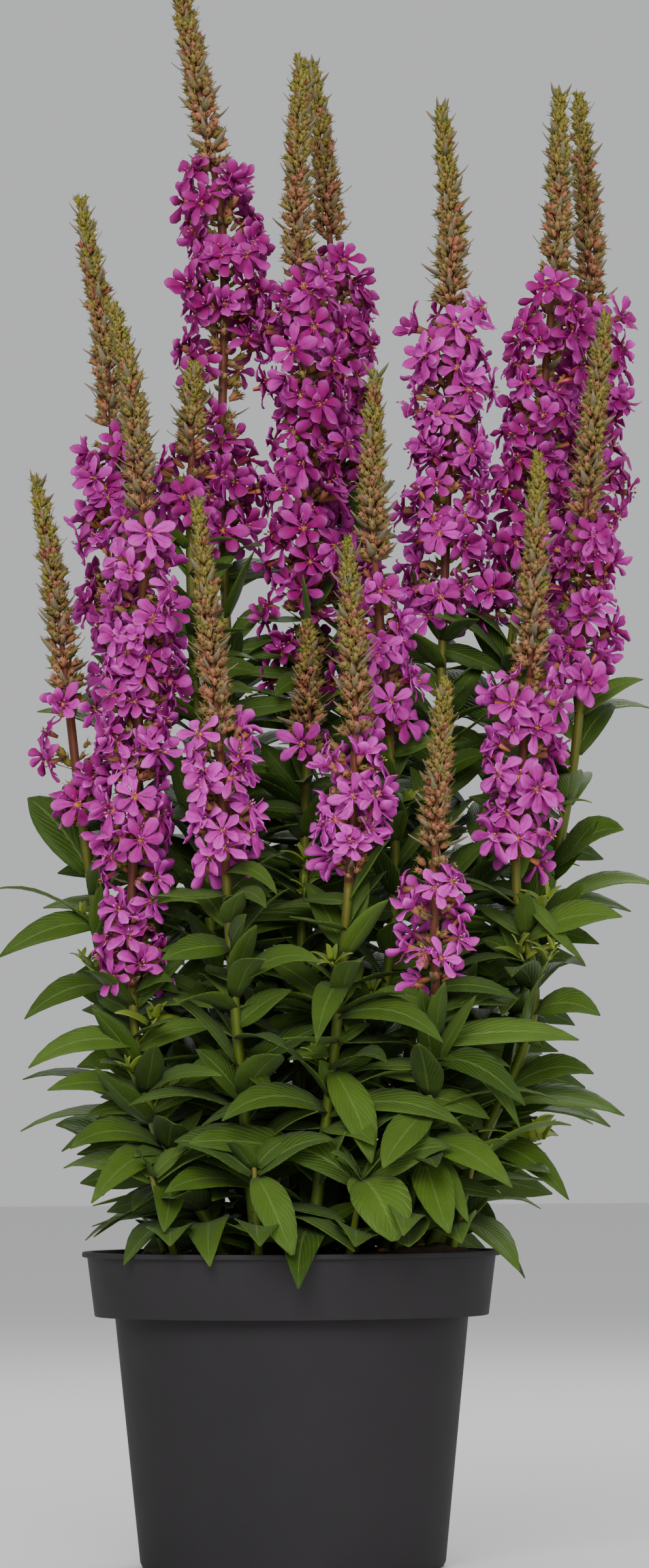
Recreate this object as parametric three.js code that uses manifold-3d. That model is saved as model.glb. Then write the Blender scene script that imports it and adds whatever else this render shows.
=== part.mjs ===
// Potted purple loosestrife: a round black nursery pot of soil with seventeen flowering stems and six shoots.
// Millimetres, +Z up, origin at the centre of the pot's underside, front of the plant at -Y.
import * as THREE from "three";
import { mergeVertices } from "three/addons/utils/BufferGeometryUtils.js";
import Module from "manifold-3d";

const wasm = await Module();
wasm.setup();

// Driving dimensions of the pot: a 190 mm lip over a deep band, and a body that narrows to the foot
const pot = {
  height: 143,
  lipRadius: 95,
  lipHeight: 2.4,
  bandTopRadius: 92.7,
  bandBottomRadius: 89.4,
  bandHeight: 29.3,
  bodyTopRadius: 80.2,
  bodyBottomRadius: 69.3,
  footRadius: 68,
  footHeight: 2.6,
  wall: 1.4,
  floor: 2,
  sides: 36,
};
const drain = { count: 6, radius: 4.5, circle: 54, sides: 6 };
const soil = {
  crown: 142.5,
  edge: 139.5,
  rings: [70, 48, 24, 0],
  lumps: 1.6,
  sides: pot.sides / 2,
  holeLength: 90,
};
const gap = 0.3;
const smallest = 0.2;

// Each flowering stem: points on its axis from the soil to its tip, and the heights its flowers stand between
const stems = [
  {
    axis: [[-9, 22, 152], [-18, 27, 266], [-30, 39, 466], [-29, 49, 601], [-38, 54, 665], [-53, 60, 744]],
    blooms: [[466, 508], [548, 632]],
  },
  {
    axis: [[8, 12, 152], [8, 20, 326], [8, 33, 537], [5, 38, 605], [7, 45, 692]],
    blooms: [[440, 594]],
  },
  {
    axis: [[19, 42, 152], [26, 56, 327], [24, 75, 525], [20, 85, 615], [12, 95, 696]],
    blooms: [[486, 602]],
  },
  {
    axis: [[43, 10, 152], [65, 20, 325], [74, 34, 505], [76, 44, 607], [72, 50, 669]],
    blooms: [[430, 570]],
  },
  {
    axis: [[53, 25, 152], [76, 29, 266], [104, 38, 430], [124, 49, 589], [127, 55, 676]],
    blooms: [[466, 590]],
  },
  {
    axis: [[62, 48, 152], [89, 55, 251], [136, 76, 458], [142, 92, 585], [138, 105, 682]],
    blooms: [[474, 582]],
  },
  {
    axis: [[69, 0, 152], [100, 1, 235], [130, 3, 365], [135, 4, 470], [146, 5, 568]],
    blooms: [[396, 468]],
  },
  {
    axis: [[-30, 22, 152], [-52, 24, 236], [-76, 30, 417], [-82, 35, 540], [-95, 40, 626]],
    blooms: [[420, 522]],
  },
  {
    axis: [[-35, -32, 152], [-63, -33, 206], [-71, -36, 280], [-65, -43, 440], [-68, -47, 516], [-78, -50, 568]],
    blooms: [[262, 296], [306, 342], [354, 468]],
  },
  {
    axis: [[-18, 0, 152], [-34, 3, 266], [-44, 10, 433], [-43, 15, 548]],
    blooms: [[472, 500]],
  },
  {
    axis: [[-16, -48, 152], [-26, -57, 275], [-31, -68, 375], [-40, -80, 476]],
    blooms: [[312, 376]],
  },
  {
    axis: [[-43, -10, 152], [-72, -11, 230], [-90, -12, 311], [-104, -14, 430], [-114, -15, 491]],
    blooms: [[337, 345], [360, 368], [384, 392]],
  },
  {
    axis: [[29, -10, 152], [40, -11, 236], [48, -13, 324], [39, -18, 470], [40, -20, 539]],
    blooms: [[376, 446]],
  },
  {
    axis: [[10, -52, 152], [23, -61, 263], [30, -73, 370], [27, -85, 458]],
    blooms: [[308, 366]],
  },
  {
    axis: [[1, 0, 152], [6, 3, 296], [9, 5, 390], [9, 7, 427]],
    blooms: [[364, 376]],
  },
  {
    axis: [[50, -50, 152], [64, -58, 224], [65, -74, 316], [70, -90, 396]],
    blooms: [[258, 316]],
  },
  {
    axis: [[66, -25, 152], [87, -28, 194], [110, -31, 252], [102, -37, 314], [109, -45, 405], [113, -55, 498]],
    blooms: [[318, 400]],
  },
];
const stemForm = { sides: 4, footRadius: 3, topRadius: 2.3, bend: 52, rootDepth: 38 };
const spikeForm = { sides: 5, radius: 2.6, bend: 32 };

// Short leafy shoots round the crown: where each stands and where its tip leans to
const shoots = [
  { foot: [-52, -50, 142], tip: [-62, -62, 178] },
  { foot: [-14, -72, 142], tip: [-16, -80, 182] },
  { foot: [26, -72, 142], tip: [32, -80, 176] },
  { foot: [72, -44, 142], tip: [82, -52, 184] },
  { foot: [-58, 30, 142], tip: [-74, 38, 190] },
  { foot: [30, 66, 142], tip: [36, 78, 196] },
];
const shootForm = {
  rootDepth: 28,
  radius: 2.2,
  leafPairs: 2,
  leafLength: 44,
  leafWidth: 21,
  lowRise: -4,
  topRise: 24,
};

// Flowers of six petals on ribbed calyx tubes, and the bud whorls above them
const flower = {
  spacing: 12.5,
  turn: 137.5,
  petals: 6,
  radius: 17,
  notch: 0.56,
  tube: 16,
  throat: 0.9,
  cup: 2.2,
  calyxRadius: 1.9,
  calyxDepth: 2.8,
  rise: 30,
};
const bud = { spacing: 13, columns: 6, lowRadius: 8, tipRadius: 2.2, waist: 0.36, lift: 3.4 };

// Leaves in crossed pairs: sizes at the foot and at the top of the leafy part
const leaf = {
  spacing: 48,
  lowLength: 66,
  topLength: 44,
  lowWidth: 20,
  topWidth: 12,
  lowRise: -8,
  topRise: 24,
  arch: 0.2,
  keel: 1.5,
  shownFace: [0, -0.8, 0.6],
  lean: 0.5,
  frontLean: 0.35,
};

// Leaves that shape the outline: the stem that carries each, its height, its tip and its width
const shownLeaves = [
  { stem: 12, at: 313, tip: [-119, 4, 349], width: 22 },
  { stem: 12, at: 290, tip: [-131, -30, 276], width: 15 },
  { stem: 12, at: 262, tip: [-119, -42, 248], width: 14 },
  { stem: 9, at: 236, tip: [-117, -52, 226], width: 14 },
  { stem: 9, at: 210, tip: [-108, -66, 216], width: 14 },
  { stem: 9, at: 190, tip: [-98, -68, 190], width: 15 },
  { stem: 9, at: 186, tip: [-88, -86, 166], width: 17 },
  { stem: 9, at: 188, tip: [-14, -80, 168], width: 17 },
  { stem: 11, at: 262, tip: [14, -86, 272], width: 13 },
  { stem: 11, at: 300, tip: [-10, -92, 296], width: 11 },
  { stem: 14, at: 262, tip: [12, -104, 236], width: 14 },
  { stem: 14, at: 248, tip: [68, -92, 236], width: 15 },
  { stem: 14, at: 206, tip: [-30, -92, 202], width: 16 },
  { stem: 16, at: 228, tip: [104, -96, 208], width: 16 },
  { stem: 16, at: 190, tip: [98, -96, 172], width: 18 },
  { stem: 7, at: 385, tip: [162, 12, 402], width: 9 },
  { stem: 7, at: 366, tip: [150, 24, 392], width: 12 },
  { stem: 7, at: 316, tip: [151, -28, 332], width: 19 },
  { stem: 17, at: 282, tip: [149, -56, 292], width: 17 },
  { stem: 17, at: 250, tip: [139, -52, 248], width: 16 },
  { stem: 17, at: 214, tip: [136, -50, 222], width: 15 },
  { stem: 17, at: 190, tip: [124, -62, 166], width: 15 },
];

const up = new THREE.Vector3(0, 0, 1);
const degrees = THREE.MathUtils.degToRad;
const mix = THREE.MathUtils.lerp;
const vector = (p) => new THREE.Vector3(...p);

// The direction that points a turn round from +X and a rise above the level, both in degrees
function direction(turn, rise) {
  const level = Math.cos(degrees(rise));
  return vector([level * Math.cos(degrees(turn)), level * Math.sin(degrees(turn)), Math.sin(degrees(rise))]);
}

// A repeatable random draw between 0 and 1
function seeded(seed) {
  let state = seed;
  return () => {
    state = (state * 16807) % 2147483647;
    return state / 2147483647;
  };
}

// The closed solid of a geometry whose shared points are merged, without the faces that merging folds away
function solidOf(geometry) {
  geometry.deleteAttribute("normal");
  geometry.deleteAttribute("uv");
  const merged = mergeVertices(geometry, 1e-3);
  const corners = merged.index.array;
  const kept = [];
  for (let i = 0; i < corners.length; i += 3) {
    const [a, b, c] = [corners[i], corners[i + 1], corners[i + 2]];
    if (a !== b && b !== c && c !== a) kept.push(a, b, c);
  }
  const mesh = new wasm.Mesh({
    numProp: 3,
    vertProperties: merged.attributes.position.array,
    triVerts: new Uint32Array(kept),
  });
  return new wasm.Manifold(mesh);
}

// The outer body of a join: hollows that it seals are filled and loose scraps are left out
function outerBody(solid) {
  const bodies = solid.decompose();
  return bodies.reduce((big, body) => (body.volume() > big.volume() ? body : big));
}

function join(pieces) {
  return outerBody(pieces.reduce((whole, piece) => whole.add(piece))).simplify(smallest);
}

// A cylinder whose points are all moved by a rule of their column, their step and whether they end a cap
function shaped(sides, steps, place) {
  const geometry = new THREE.CylinderGeometry(1, 1, 1, sides, steps);
  const points = geometry.attributes.position;
  const here = new THREE.Vector3();
  for (let i = 0; i < points.count; i++) {
    here.fromBufferAttribute(points, i);
    const inCap = here.x * here.x + here.z * here.z < 0.25;
    const column = Math.round((Math.atan2(here.x, here.z) / (2 * Math.PI)) * sides + sides) % sides;
    const moved = place(column, Math.round((here.y + 0.5) * steps), inCap);
    points.setXYZ(i, moved.x, moved.y, moved.z);
  }
  return solidOf(geometry);
}

// The three directions across a path: to its side, along it and square to both
function frameAcross(along, reference) {
  const side = reference.clone().addScaledVector(along, -reference.dot(along)).normalize();
  return { side, along, out: side.clone().cross(along) };
}

function offset(point, frame, toSide, outward) {
  return point.clone().addScaledVector(frame.side, toSide).addScaledVector(frame.out, outward);
}

// A stem's axis, sunk into the soil along its first stretch, with a search for the place at a height
function axisOf(points, depth) {
  const line = points.map(vector);
  const rise = line[1].clone().sub(line[0]).normalize();
  const start = line[0].clone().addScaledVector(rise, -depth);
  const curve = new THREE.CatmullRomCurve3([start, ...line], false, "catmullrom", 0.5);
  const atHeight = (height) => {
    let [low, high] = [0, 1];
    for (let i = 0; i < 24; i++) {
      const middle = (low + high) / 2;
      if (curve.getPoint(middle).z < height) low = middle;
      else high = middle;
    }
    return (low + high) / 2;
  };
  return { curve, atHeight, start, rise, tip: line[line.length - 1].z };
}

// A round bar along part of an axis, its radius a rule of the column, the step and the share of the way
function barAlong(axis, from, to, sides, steps, radiusAt) {
  const [first, last] = [axis.atHeight(from), axis.atHeight(to)];
  return shaped(sides, steps, (column, step, inCap) => {
    const share = step / steps;
    const t = mix(first, last, share);
    const frame = frameAcross(axis.curve.getTangent(t), new THREE.Vector3(1, 0, 0));
    const angle = (column / sides) * 2 * Math.PI;
    const { radius, lift } = radiusAt(column, step, share);
    const reach = inCap ? 0 : radius;
    const centre = axis.curve.getPoint(t);
    const place = offset(centre, frame, reach * Math.sin(angle), reach * Math.cos(angle));
    return place.addScaledVector(frame.along, inCap ? 0 : lift);
  });
}

// A leaf blade with a keel: a narrow root inside the stem, an arched midrib and a pointed tip
function leafBlade({ root, tip, width, face, clearance }) {
  const span = tip.clone().sub(root);
  const length = span.length();
  const bow = 4 * leaf.arch * length;
  const midrib = (t) => root.clone().addScaledVector(span, t).addScaledVector(up, bow * t * (1 - t));
  const blade = 3;
  return shaped(3, blade, (column, step, inCap) => {
    const t = step / blade;
    const along = midrib(t + 0.01).sub(midrib(t - 0.01)).normalize();
    const frame = frameAcross(along, face.clone().cross(span));
    if (step === blade) return midrib(1 + clearance / length);
    const swell = Math.sin(Math.PI * Math.pow(t, 0.8));
    const half = (width / 2 + clearance) * swell;
    const keel = leaf.keel * (0.45 + 0.55 * swell) + clearance;
    if (step === 0) return root.clone();
    if (column === 0) return offset(midrib(t), frame, 0, keel);
    return offset(midrib(t), frame, column === 1 ? half : -half, -0.12 * half - clearance);
  });
}

// One open flower: six petals round a throat, on a calyx tube that starts at the middle of the stem
function openFlower({ root, along, spin, size, clearance }) {
  const points = 2 * flower.petals;
  const frame = frameAcross(along, up);
  const tube = flower.tube * size;
  const ring = (angle, radius, height) => {
    const middle = root.clone().addScaledVector(along, height);
    return offset(middle, frame, radius * Math.sin(angle), radius * Math.cos(angle));
  };
  return shaped(points, 2, (column, step, inCap) => {
    const angle = ((column + spin) / points) * 2 * Math.PI;
    if (step === 0) return root.clone();
    if (step === 1) {
      const corner = ((4 * Math.floor(column / 4) + 1.5 + spin) / points) * 2 * Math.PI;
      return ring(corner, flower.calyxRadius + clearance, tube - flower.calyxDepth - clearance);
    }
    if (inCap) return ring(0, 0, tube - flower.throat + clearance);
    const reach = flower.radius * size + clearance;
    if (column % 2) return ring(angle, reach * flower.notch, tube - gap);
    return ring(angle, reach, tube + flower.cup * size);
  });
}

// What is already in place, so that leaves and flowers are turned clear of the other nodes
const placed = [];

function boxesMeet(a, b) {
  return [0, 1, 2].every((i) => a.min[i] <= b.max[i] && b.min[i] <= a.max[i]);
}

function isClear(solid, node) {
  const box = solid.boundingBox();
  const near = placed.filter((other) => other.node !== node && boxesMeet(box, other.box));
  return near.every((other) => solid.intersect(other.solid).volume() < 1e-4);
}

function settle(solid, node) {
  placed.push({ solid, node, box: solid.boundingBox() });
  return solid;
}

// The first of several choices whose roomier form is clear of the other nodes, or nothing
function firstClear(make, choices, node) {
  const choice = choices.find((one) => isClear(make({ ...one, clearance: gap }), node));
  return choice ? settle(make({ ...choice, clearance: 0 }), node) : null;
}

// Pot: one turned shell with a stepped band and a small lip, drained through its floor
function potSolid() {
  const bandBottom = pot.height - pot.bandHeight;
  const outside = [
    [0, 0],
    [pot.footRadius, 0],
    [pot.bodyBottomRadius, pot.footHeight],
    [pot.bodyTopRadius, bandBottom],
    [pot.bandBottomRadius - 1, bandBottom],
    [pot.bandBottomRadius, bandBottom + 1],
    [pot.bandTopRadius, pot.height - pot.lipHeight],
    [pot.lipRadius, pot.height - pot.lipHeight + 0.6],
    [pot.lipRadius, pot.height - 0.6],
    [pot.lipRadius - 1, pot.height],
  ];
  const inside = [
    [pot.bandTopRadius - pot.wall, pot.height - 0.8],
    [pot.bandBottomRadius - pot.wall, bandBottom + pot.wall],
    [pot.bodyTopRadius - pot.wall, bandBottom + pot.wall],
    [pot.bodyBottomRadius - pot.wall, pot.floor],
    [0, pot.floor],
  ];
  const profile = [...outside, ...inside].map(([radius, height]) => new THREE.Vector2(radius, height));
  const shell = new THREE.LatheGeometry(profile, pot.sides).rotateX(Math.PI / 2);
  return drainHoles().reduce((whole, hole) => whole.subtract(hole), solidOf(shell));
}

function drainHoles() {
  return Array.from({ length: drain.count }, (_, i) => {
    const angle = ((i + 0.5) / drain.count) * 2 * Math.PI;
    const hole = new THREE.CylinderGeometry(drain.radius, drain.radius, 4 * pot.floor, drain.sides);
    hole.rotateX(Math.PI / 2);
    hole.translate(drain.circle * Math.cos(angle), drain.circle * Math.sin(angle), pot.floor / 2);
    return solidOf(hole);
  });
}

// Soil: fills the pot to the rim with a lumpy top, and has a plain hole for each stem and shoot
function soilSolid(axes) {
  const bandBottom = pot.height - pot.bandHeight;
  const clear = pot.wall + gap;
  const edgeShare = (soil.edge - bandBottom) / pot.bandHeight;
  const side = [
    [0, pot.floor + gap],
    [pot.bodyBottomRadius - clear, pot.floor + gap],
    [pot.bodyTopRadius - clear, bandBottom + clear],
    [pot.bandBottomRadius - clear, bandBottom + clear],
    [mix(pot.bandBottomRadius, pot.bandTopRadius, edgeShare) - clear, soil.edge],
  ];
  const topAt = (radius) => [radius, mix(soil.crown, soil.edge, radius / pot.bandTopRadius)];
  const profile = [...side, ...soil.rings.map(topAt)].map(([radius, height]) => new THREE.Vector2(radius, height));
  const body = new THREE.LatheGeometry(profile, soil.sides).rotateX(Math.PI / 2);
  const points = body.attributes.position;
  for (let i = 0; i < points.count; i++) {
    const [x, y, z] = [points.getX(i), points.getY(i), points.getZ(i)];
    const lump = soil.lumps * Math.sin(0.19 * x + 1) * Math.cos(0.23 * y);
    if (z > soil.edge + 0.1) points.setZ(i, z + lump);
  }
  return axes.map(stemHole).reduce((whole, hole) => whole.subtract(hole), solidOf(body));
}

function stemHole(axis) {
  const radius = stemForm.footRadius + 2 * gap;
  const frame = frameAcross(axis.rise, new THREE.Vector3(1, 0, 0));
  return shaped(stemForm.sides, 1, (column, step, inCap) => {
    const angle = (column / stemForm.sides) * 2 * Math.PI;
    const reach = inCap ? 0 : radius;
    const centre = axis.start.clone().addScaledVector(axis.rise, step ? soil.holeLength : -gap);
    return offset(centre, frame, reach * Math.sin(angle), reach * Math.cos(angle));
  });
}

// The bare green bar of a stem's leafy part, from its root in the soil to its first flower
function leafyBar(axis, top) {
  const from = axis.start.z;
  const steps = Math.max(2, Math.round((top - from) / stemForm.bend));
  const radiusAt = (column, step, share) => {
    return { radius: mix(stemForm.footRadius, stemForm.topRadius, share), lift: 0 };
  };
  return barAlong(axis, from, top - gap / 2, stemForm.sides, steps, radiusAt);
}

function spikeBar(axis, from, to) {
  const steps = Math.max(1, Math.round((to - from) / spikeForm.bend));
  const radiusAt = () => ({ radius: spikeForm.radius, lift: 0 });
  return barAlong(axis, from + gap / 2, to - gap / 2, spikeForm.sides, steps, radiusAt);
}

// Bud whorls as one ridged body: buds stand out of a slim core, crowded at the tip and apart below
function budSpike(axis, from) {
  const whorls = Math.round((axis.tip - from) / bud.spacing);
  const steps = 2 * whorls + 1;
  const radiusAt = (column, step, share) => {
    const full = mix(bud.lowRadius, bud.tipRadius, Math.pow(share, 1.3));
    const isPeak = step % 2 === 1 && step < steps && (column + (step - 1) / 2) % 2 === 0;
    const waist = mix(bud.waist, 0.7, share);
    if (isPeak) return { radius: full, lift: bud.lift * (1 - 0.5 * share) };
    if (step === steps) return { radius: 0.5 * full, lift: 0 };
    return { radius: full * waist, lift: step % 2 ? 0 : -0.5 };
  };
  return barAlong(axis, from + gap / 2 + 0.6, axis.tip, bud.columns, steps, radiusAt);
}

// Flowers wind up the spike, each turned on a little where its first place crosses another stem's piece
function flowersOf(stem, axis, node, random) {
  const pieces = [];
  let turn = 360 * random();
  for (const [from, to] of stem.blooms) {
    const count = Math.max(3, Math.round((to - from) / flower.spacing) + 1);
    for (let i = 0; i < count; i++) {
      turn += flower.turn;
      const height = mix(from + 3, to - 4, i / (count - 1));
      const spin = random();
      const size = 0.94 + 0.12 * random();
      pieces.push(flowerNear(axis, height, turn, spin, size, node));
    }
  }
  return pieces.filter((piece) => piece !== null);
}

function flowerNear(axis, height, turn, spin, size, node) {
  const root = axis.curve.getPoint(axis.atHeight(height));
  const choices = [];
  for (const scale of [1, 0.86, 0.74]) {
    for (const swing of [0, 22, -22, 44, -44]) {
      choices.push({ root, along: direction(turn + swing, flower.rise), spin, size: size * scale });
    }
  }
  return firstClear(openFlower, choices, node);
}

function shownLeavesOf(number, axis, node) {
  const own = shownLeaves.filter((one) => one.stem === number);
  return own.map(({ at, tip, width }) => {
    const root = axis.curve.getPoint(axis.atHeight(at));
    const face = vector(leaf.shownFace);
    const choices = [0, 7, -7, 14, -14].map((shift) => {
      return { root, tip: vector(tip).add(vector([0, shift, shift / 2])), width, face };
    });
    return firstClear(leafBlade, choices, node);
  });
}

// A crossed pair of leaves at each node of the stem, turned or tilted clear of what is in place
function pairedLeavesOf(axis, top, node, random) {
  const pieces = [];
  const low = soil.crown + 12;
  const pairs = Math.max(2, Math.round((top - low) / leaf.spacing));
  let turn = 180 * random();
  for (let pair = 0; pair < pairs; pair++) {
    const share = pair / pairs;
    const root = axis.curve.getPoint(axis.atHeight(mix(low, top - 6, share)));
    turn += 90 + 20 * (random() - 0.5);
    for (const half of [0, 180]) {
      const length = mix(leaf.lowLength, leaf.topLength, share) * (0.9 + 0.2 * random());
      const width = mix(leaf.lowWidth, leaf.topWidth, share);
      const rise = mix(leaf.lowRise, leaf.topRise, share) + 16 * (random() - 0.5);
      pieces.push(leafNear(root, turn + half, rise, length, width, faceNear(random), node));
    }
  }
  return pieces;
}

// Where a blade's upper side looks: mostly up and a little to the front, each at its own tilt
function faceNear(random) {
  const lean = [0, 1].map(() => leaf.lean * (2 * random() - 1));
  return vector([lean[0], lean[1] - leaf.frontLean, 1]).normalize();
}

function leafNear(root, turn, rise, length, width, face, node) {
  const choices = [];
  for (const scale of [1, 0.8]) {
    for (const tilt of [0, 14, -14, 28]) {
      for (const swing of [0, 18, -18, 36, -36]) {
        const tip = root.clone().addScaledVector(direction(turn + swing, rise + tilt), length * scale);
        choices.push({ root, tip, width: width * scale, face });
      }
    }
  }
  return firstClear(leafBlade, choices, node);
}

function material(color, roughness) {
  return new THREE.MeshStandardMaterial({ color, roughness, metalness: 0 });
}

function meshOf(name, solid, look) {
  const { vertProperties, triVerts } = solid.getMesh();
  const geometry = new THREE.BufferGeometry();
  geometry.setAttribute("position", new THREE.BufferAttribute(vertProperties, 3));
  geometry.setIndex(new THREE.BufferAttribute(triVerts, 1));
  geometry.computeVertexNormals();
  const mesh = new THREE.Mesh(geometry, look);
  mesh.name = name;
  return mesh;
}

const plant = new THREE.Group();
const stemAxes = stems.map((stem) => axisOf(stem.axis, stemForm.rootDepth));
const shootAxes = shoots.map(({ foot, tip }) => axisOf([foot, tip], shootForm.rootDepth));
const number = (i) => String(i + 1).padStart(2, "0");
const leafyNode = (i) => `stem_${number(i)}_leafy`;
const flowerNode = (i) => `stem_${number(i)}_flowers`;
const budNode = (i) => `stem_${number(i)}_buds`;
const shootNode = (i) => `shoot_${number(i)}`;

// Pot and soil
const potBody = settle(potSolid(), "pot");
const soilBody = settle(soilSolid([...stemAxes, ...shootAxes]), "soil");
plant.add(meshOf("pot", potBody, material(0x2f2e31, 0.6)));
plant.add(meshOf("soil", soilBody, material(0x4b3726, 0.95)));

// The bars of all stems, shoots and bud spikes come first, so that leaves and flowers keep clear of them
const bars = stems.map(({ blooms }, i) => {
  const [bottom, top] = [blooms[0][0], blooms[blooms.length - 1][1]];
  return {
    leafy: settle(leafyBar(stemAxes[i], bottom), leafyNode(i)),
    spike: settle(spikeBar(stemAxes[i], bottom, top), flowerNode(i)),
    buds: settle(budSpike(stemAxes[i], top), budNode(i)),
  };
});
const shootBars = shootAxes.map((axis, i) => {
  const radiusAt = (column, step, share) => ({ radius: shootForm.radius * (1 - 0.5 * share), lift: 0 });
  return settle(barAlong(axis, axis.start.z, axis.tip, stemForm.sides, 2, radiusAt), shootNode(i));
});

// Leaves of the outline, then flowers, then the crossed pairs
const outlineLeaves = stems.map((stem, i) => shownLeavesOf(i + 1, stemAxes[i], leafyNode(i)));
const flowers = stems.map((stem, i) => flowersOf(stem, stemAxes[i], flowerNode(i), seeded(100 + i)));
const pairedLeaves = stems.map((stem, i) => {
  return pairedLeavesOf(stemAxes[i], stem.blooms[0][0], leafyNode(i), seeded(300 + i));
});

stems.forEach((stem, i) => {
  const leaves = [...outlineLeaves[i], ...pairedLeaves[i]].filter((piece) => piece !== null);
  plant.add(meshOf(leafyNode(i), join([bars[i].leafy, ...leaves]), material(0x4f7a35, 0.55)));
  plant.add(meshOf(flowerNode(i), join([bars[i].spike, ...flowers[i]]), material(0xb44abb, 0.6)));
  plant.add(meshOf(budNode(i), outerBody(bars[i].buds), material(0x7d6d40, 0.75)));
});

// Shoots: broad young leaves in crossed pairs
shoots.forEach((shoot, i) => {
  const random = seeded(500 + i);
  const leaves = [];
  let turn = 360 * random();
  for (let pair = 0; pair < shootForm.leafPairs; pair++) {
    const root = shootAxes[i].curve.getPoint(mix(0.62, 0.94, pair / (shootForm.leafPairs - 1)));
    turn += 90;
    for (const half of [0, 180]) {
      const length = shootForm.leafLength * (0.85 + 0.3 * random());
      const rise = mix(shootForm.lowRise, shootForm.topRise, pair / (shootForm.leafPairs - 1));
      const face = faceNear(random);
      leaves.push(leafNear(root, turn + half, rise, length, shootForm.leafWidth, face, shootNode(i)));
    }
  }
  const kept = leaves.filter((piece) => piece !== null);
  plant.add(meshOf(shootNode(i), join([shootBars[i], ...kept]), material(0x4f7a35, 0.55)));
});

export default plant;
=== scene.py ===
import math

import bmesh
import bpy
from mathutils import Matrix, Vector, kdtree, noise
from mathutils.bvhtree import BVHTree


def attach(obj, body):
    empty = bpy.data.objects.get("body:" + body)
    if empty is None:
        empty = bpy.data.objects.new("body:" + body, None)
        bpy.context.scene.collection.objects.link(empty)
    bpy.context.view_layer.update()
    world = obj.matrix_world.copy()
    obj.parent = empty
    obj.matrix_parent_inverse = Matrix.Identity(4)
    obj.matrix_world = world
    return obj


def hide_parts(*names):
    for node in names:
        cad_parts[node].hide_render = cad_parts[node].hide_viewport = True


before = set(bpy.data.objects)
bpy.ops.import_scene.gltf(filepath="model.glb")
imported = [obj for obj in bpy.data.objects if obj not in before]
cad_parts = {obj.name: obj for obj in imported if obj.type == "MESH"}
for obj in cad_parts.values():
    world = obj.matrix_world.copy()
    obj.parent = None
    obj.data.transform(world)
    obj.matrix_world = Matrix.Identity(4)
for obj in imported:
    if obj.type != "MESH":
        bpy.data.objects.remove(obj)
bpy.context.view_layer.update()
mm = 0.001  # sizes below are in millimetres
up = Vector((0, 0, 1))


def seeded(seed):
    # random draws from 0 to 1 that come out the same every time
    state = {"value": seed}

    def draw():
        state["value"] = (state["value"] * 16807) % 2147483647
        return state["value"] / 2147483647

    return draw


def between(draw, low, high):
    return low + (high - low) * draw()


def anyTurn(draw):
    return 6.28 * draw()  # in radians


def mix(a, b, share):
    return a + (b - a) * share


def direction(turn, rise):
    # turn goes round from +X and rise upwards from level, in degrees
    turn, rise = math.radians(turn), math.radians(rise)
    level = math.cos(rise)
    return Vector((level * math.cos(turn), level * math.sin(turn), math.sin(rise)))


def addObject(name, data):
    thing = bpy.data.objects.new(name, data)
    bpy.context.scene.collection.objects.link(thing)
    return thing


# Camera: the photo's place, far off and a little above the rim, turned up slightly
cameraSettings = {
    "right": 0.0162,
    "distance": 3.4,
    "height": 0.21,
    "pitch": 2.437,
    "roll": 0.324,
    "lens": 171.8,
    "sensor": 36.0,
    "farthest": 30.0,
}


def makeCamera(s):
    data = bpy.data.cameras.new("photoCamera")
    data.sensor_fit = "VERTICAL"
    data.sensor_height = s["sensor"]
    data.lens = s["lens"]
    data.clip_end = s["farthest"]
    camera = addObject("photoCamera", data)
    pitch = Matrix.Rotation(math.radians(90 + s["pitch"]), 4, "X")
    roll = Matrix.Rotation(math.radians(-s["roll"]), 4, "Z")
    camera.matrix_world = Matrix.Translation((s["right"], -s["distance"], s["height"])) @ (pitch @ roll)
    bpy.context.scene.camera = camera


makeCamera(cameraSettings)
print("camera placed")


# Floor and studio light
studio = {
    "floorSize": 24.0,
    "floorColor": (0.78, 0.775, 0.76, 1),
    "floorRoughness": 0.85,
    "worldColor": (0.93, 0.94, 0.96, 1),
    "worldStrength": 0.6,
    "lights": (
        {"name": "keySoftbox", "at": (-0.45, -3.0, 1.9), "size": 1.5, "power": 80},
        {"name": "fillSoftbox", "at": (1.0, -2.8, 0.9), "size": 1.6, "power": 22},
        {"name": "backSoftbox", "at": (0.5, 1.9, 2.2), "size": 1.6, "power": 34},
    ),
    "aim": (0, 0, 0.4),
}


def makeMaterial(name):
    material = bpy.data.materials.new(name)
    material.use_nodes = True
    return material, material.node_tree, material.node_tree.nodes["Principled BSDF"]


def makeFloor(s):
    bm = bmesh.new()
    bmesh.ops.create_grid(bm, x_segments=2, y_segments=2, size=s["floorSize"] / 2)
    floor = addObject("floor", bpy.data.meshes.new("floor"))
    bm.to_mesh(floor.data)
    bm.free()
    material, _, shader = makeMaterial("floorPaper")
    shader.inputs["Base Color"].default_value = s["floorColor"]
    shader.inputs["Roughness"].default_value = s["floorRoughness"]
    floor.data.materials.append(material)


def makeStudio(s):
    world = bpy.data.worlds.new("studio")
    world.use_nodes = True
    background = world.node_tree.nodes["Background"]
    background.inputs["Color"].default_value = s["worldColor"]
    background.inputs["Strength"].default_value = s["worldStrength"]
    bpy.context.scene.world = world
    for light in s["lights"]:
        data = bpy.data.lights.new(light["name"], "AREA")
        data.size = light["size"]
        data.energy = light["power"]
        lamp = addObject(light["name"], data)
        lamp.location = light["at"]
        aim = Vector(s["aim"]) - Vector(light["at"])
        lamp.rotation_euler = aim.to_track_quat("-Z", "Y").to_euler()


makeFloor(studio)
makeStudio(studio)
print("floor and lights ready")


# Node helpers
def addNode(tree, kind, **settings):
    node = tree.nodes.new(kind)
    for key, value in settings.items():
        setattr(node, key, value)
    return node


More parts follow.
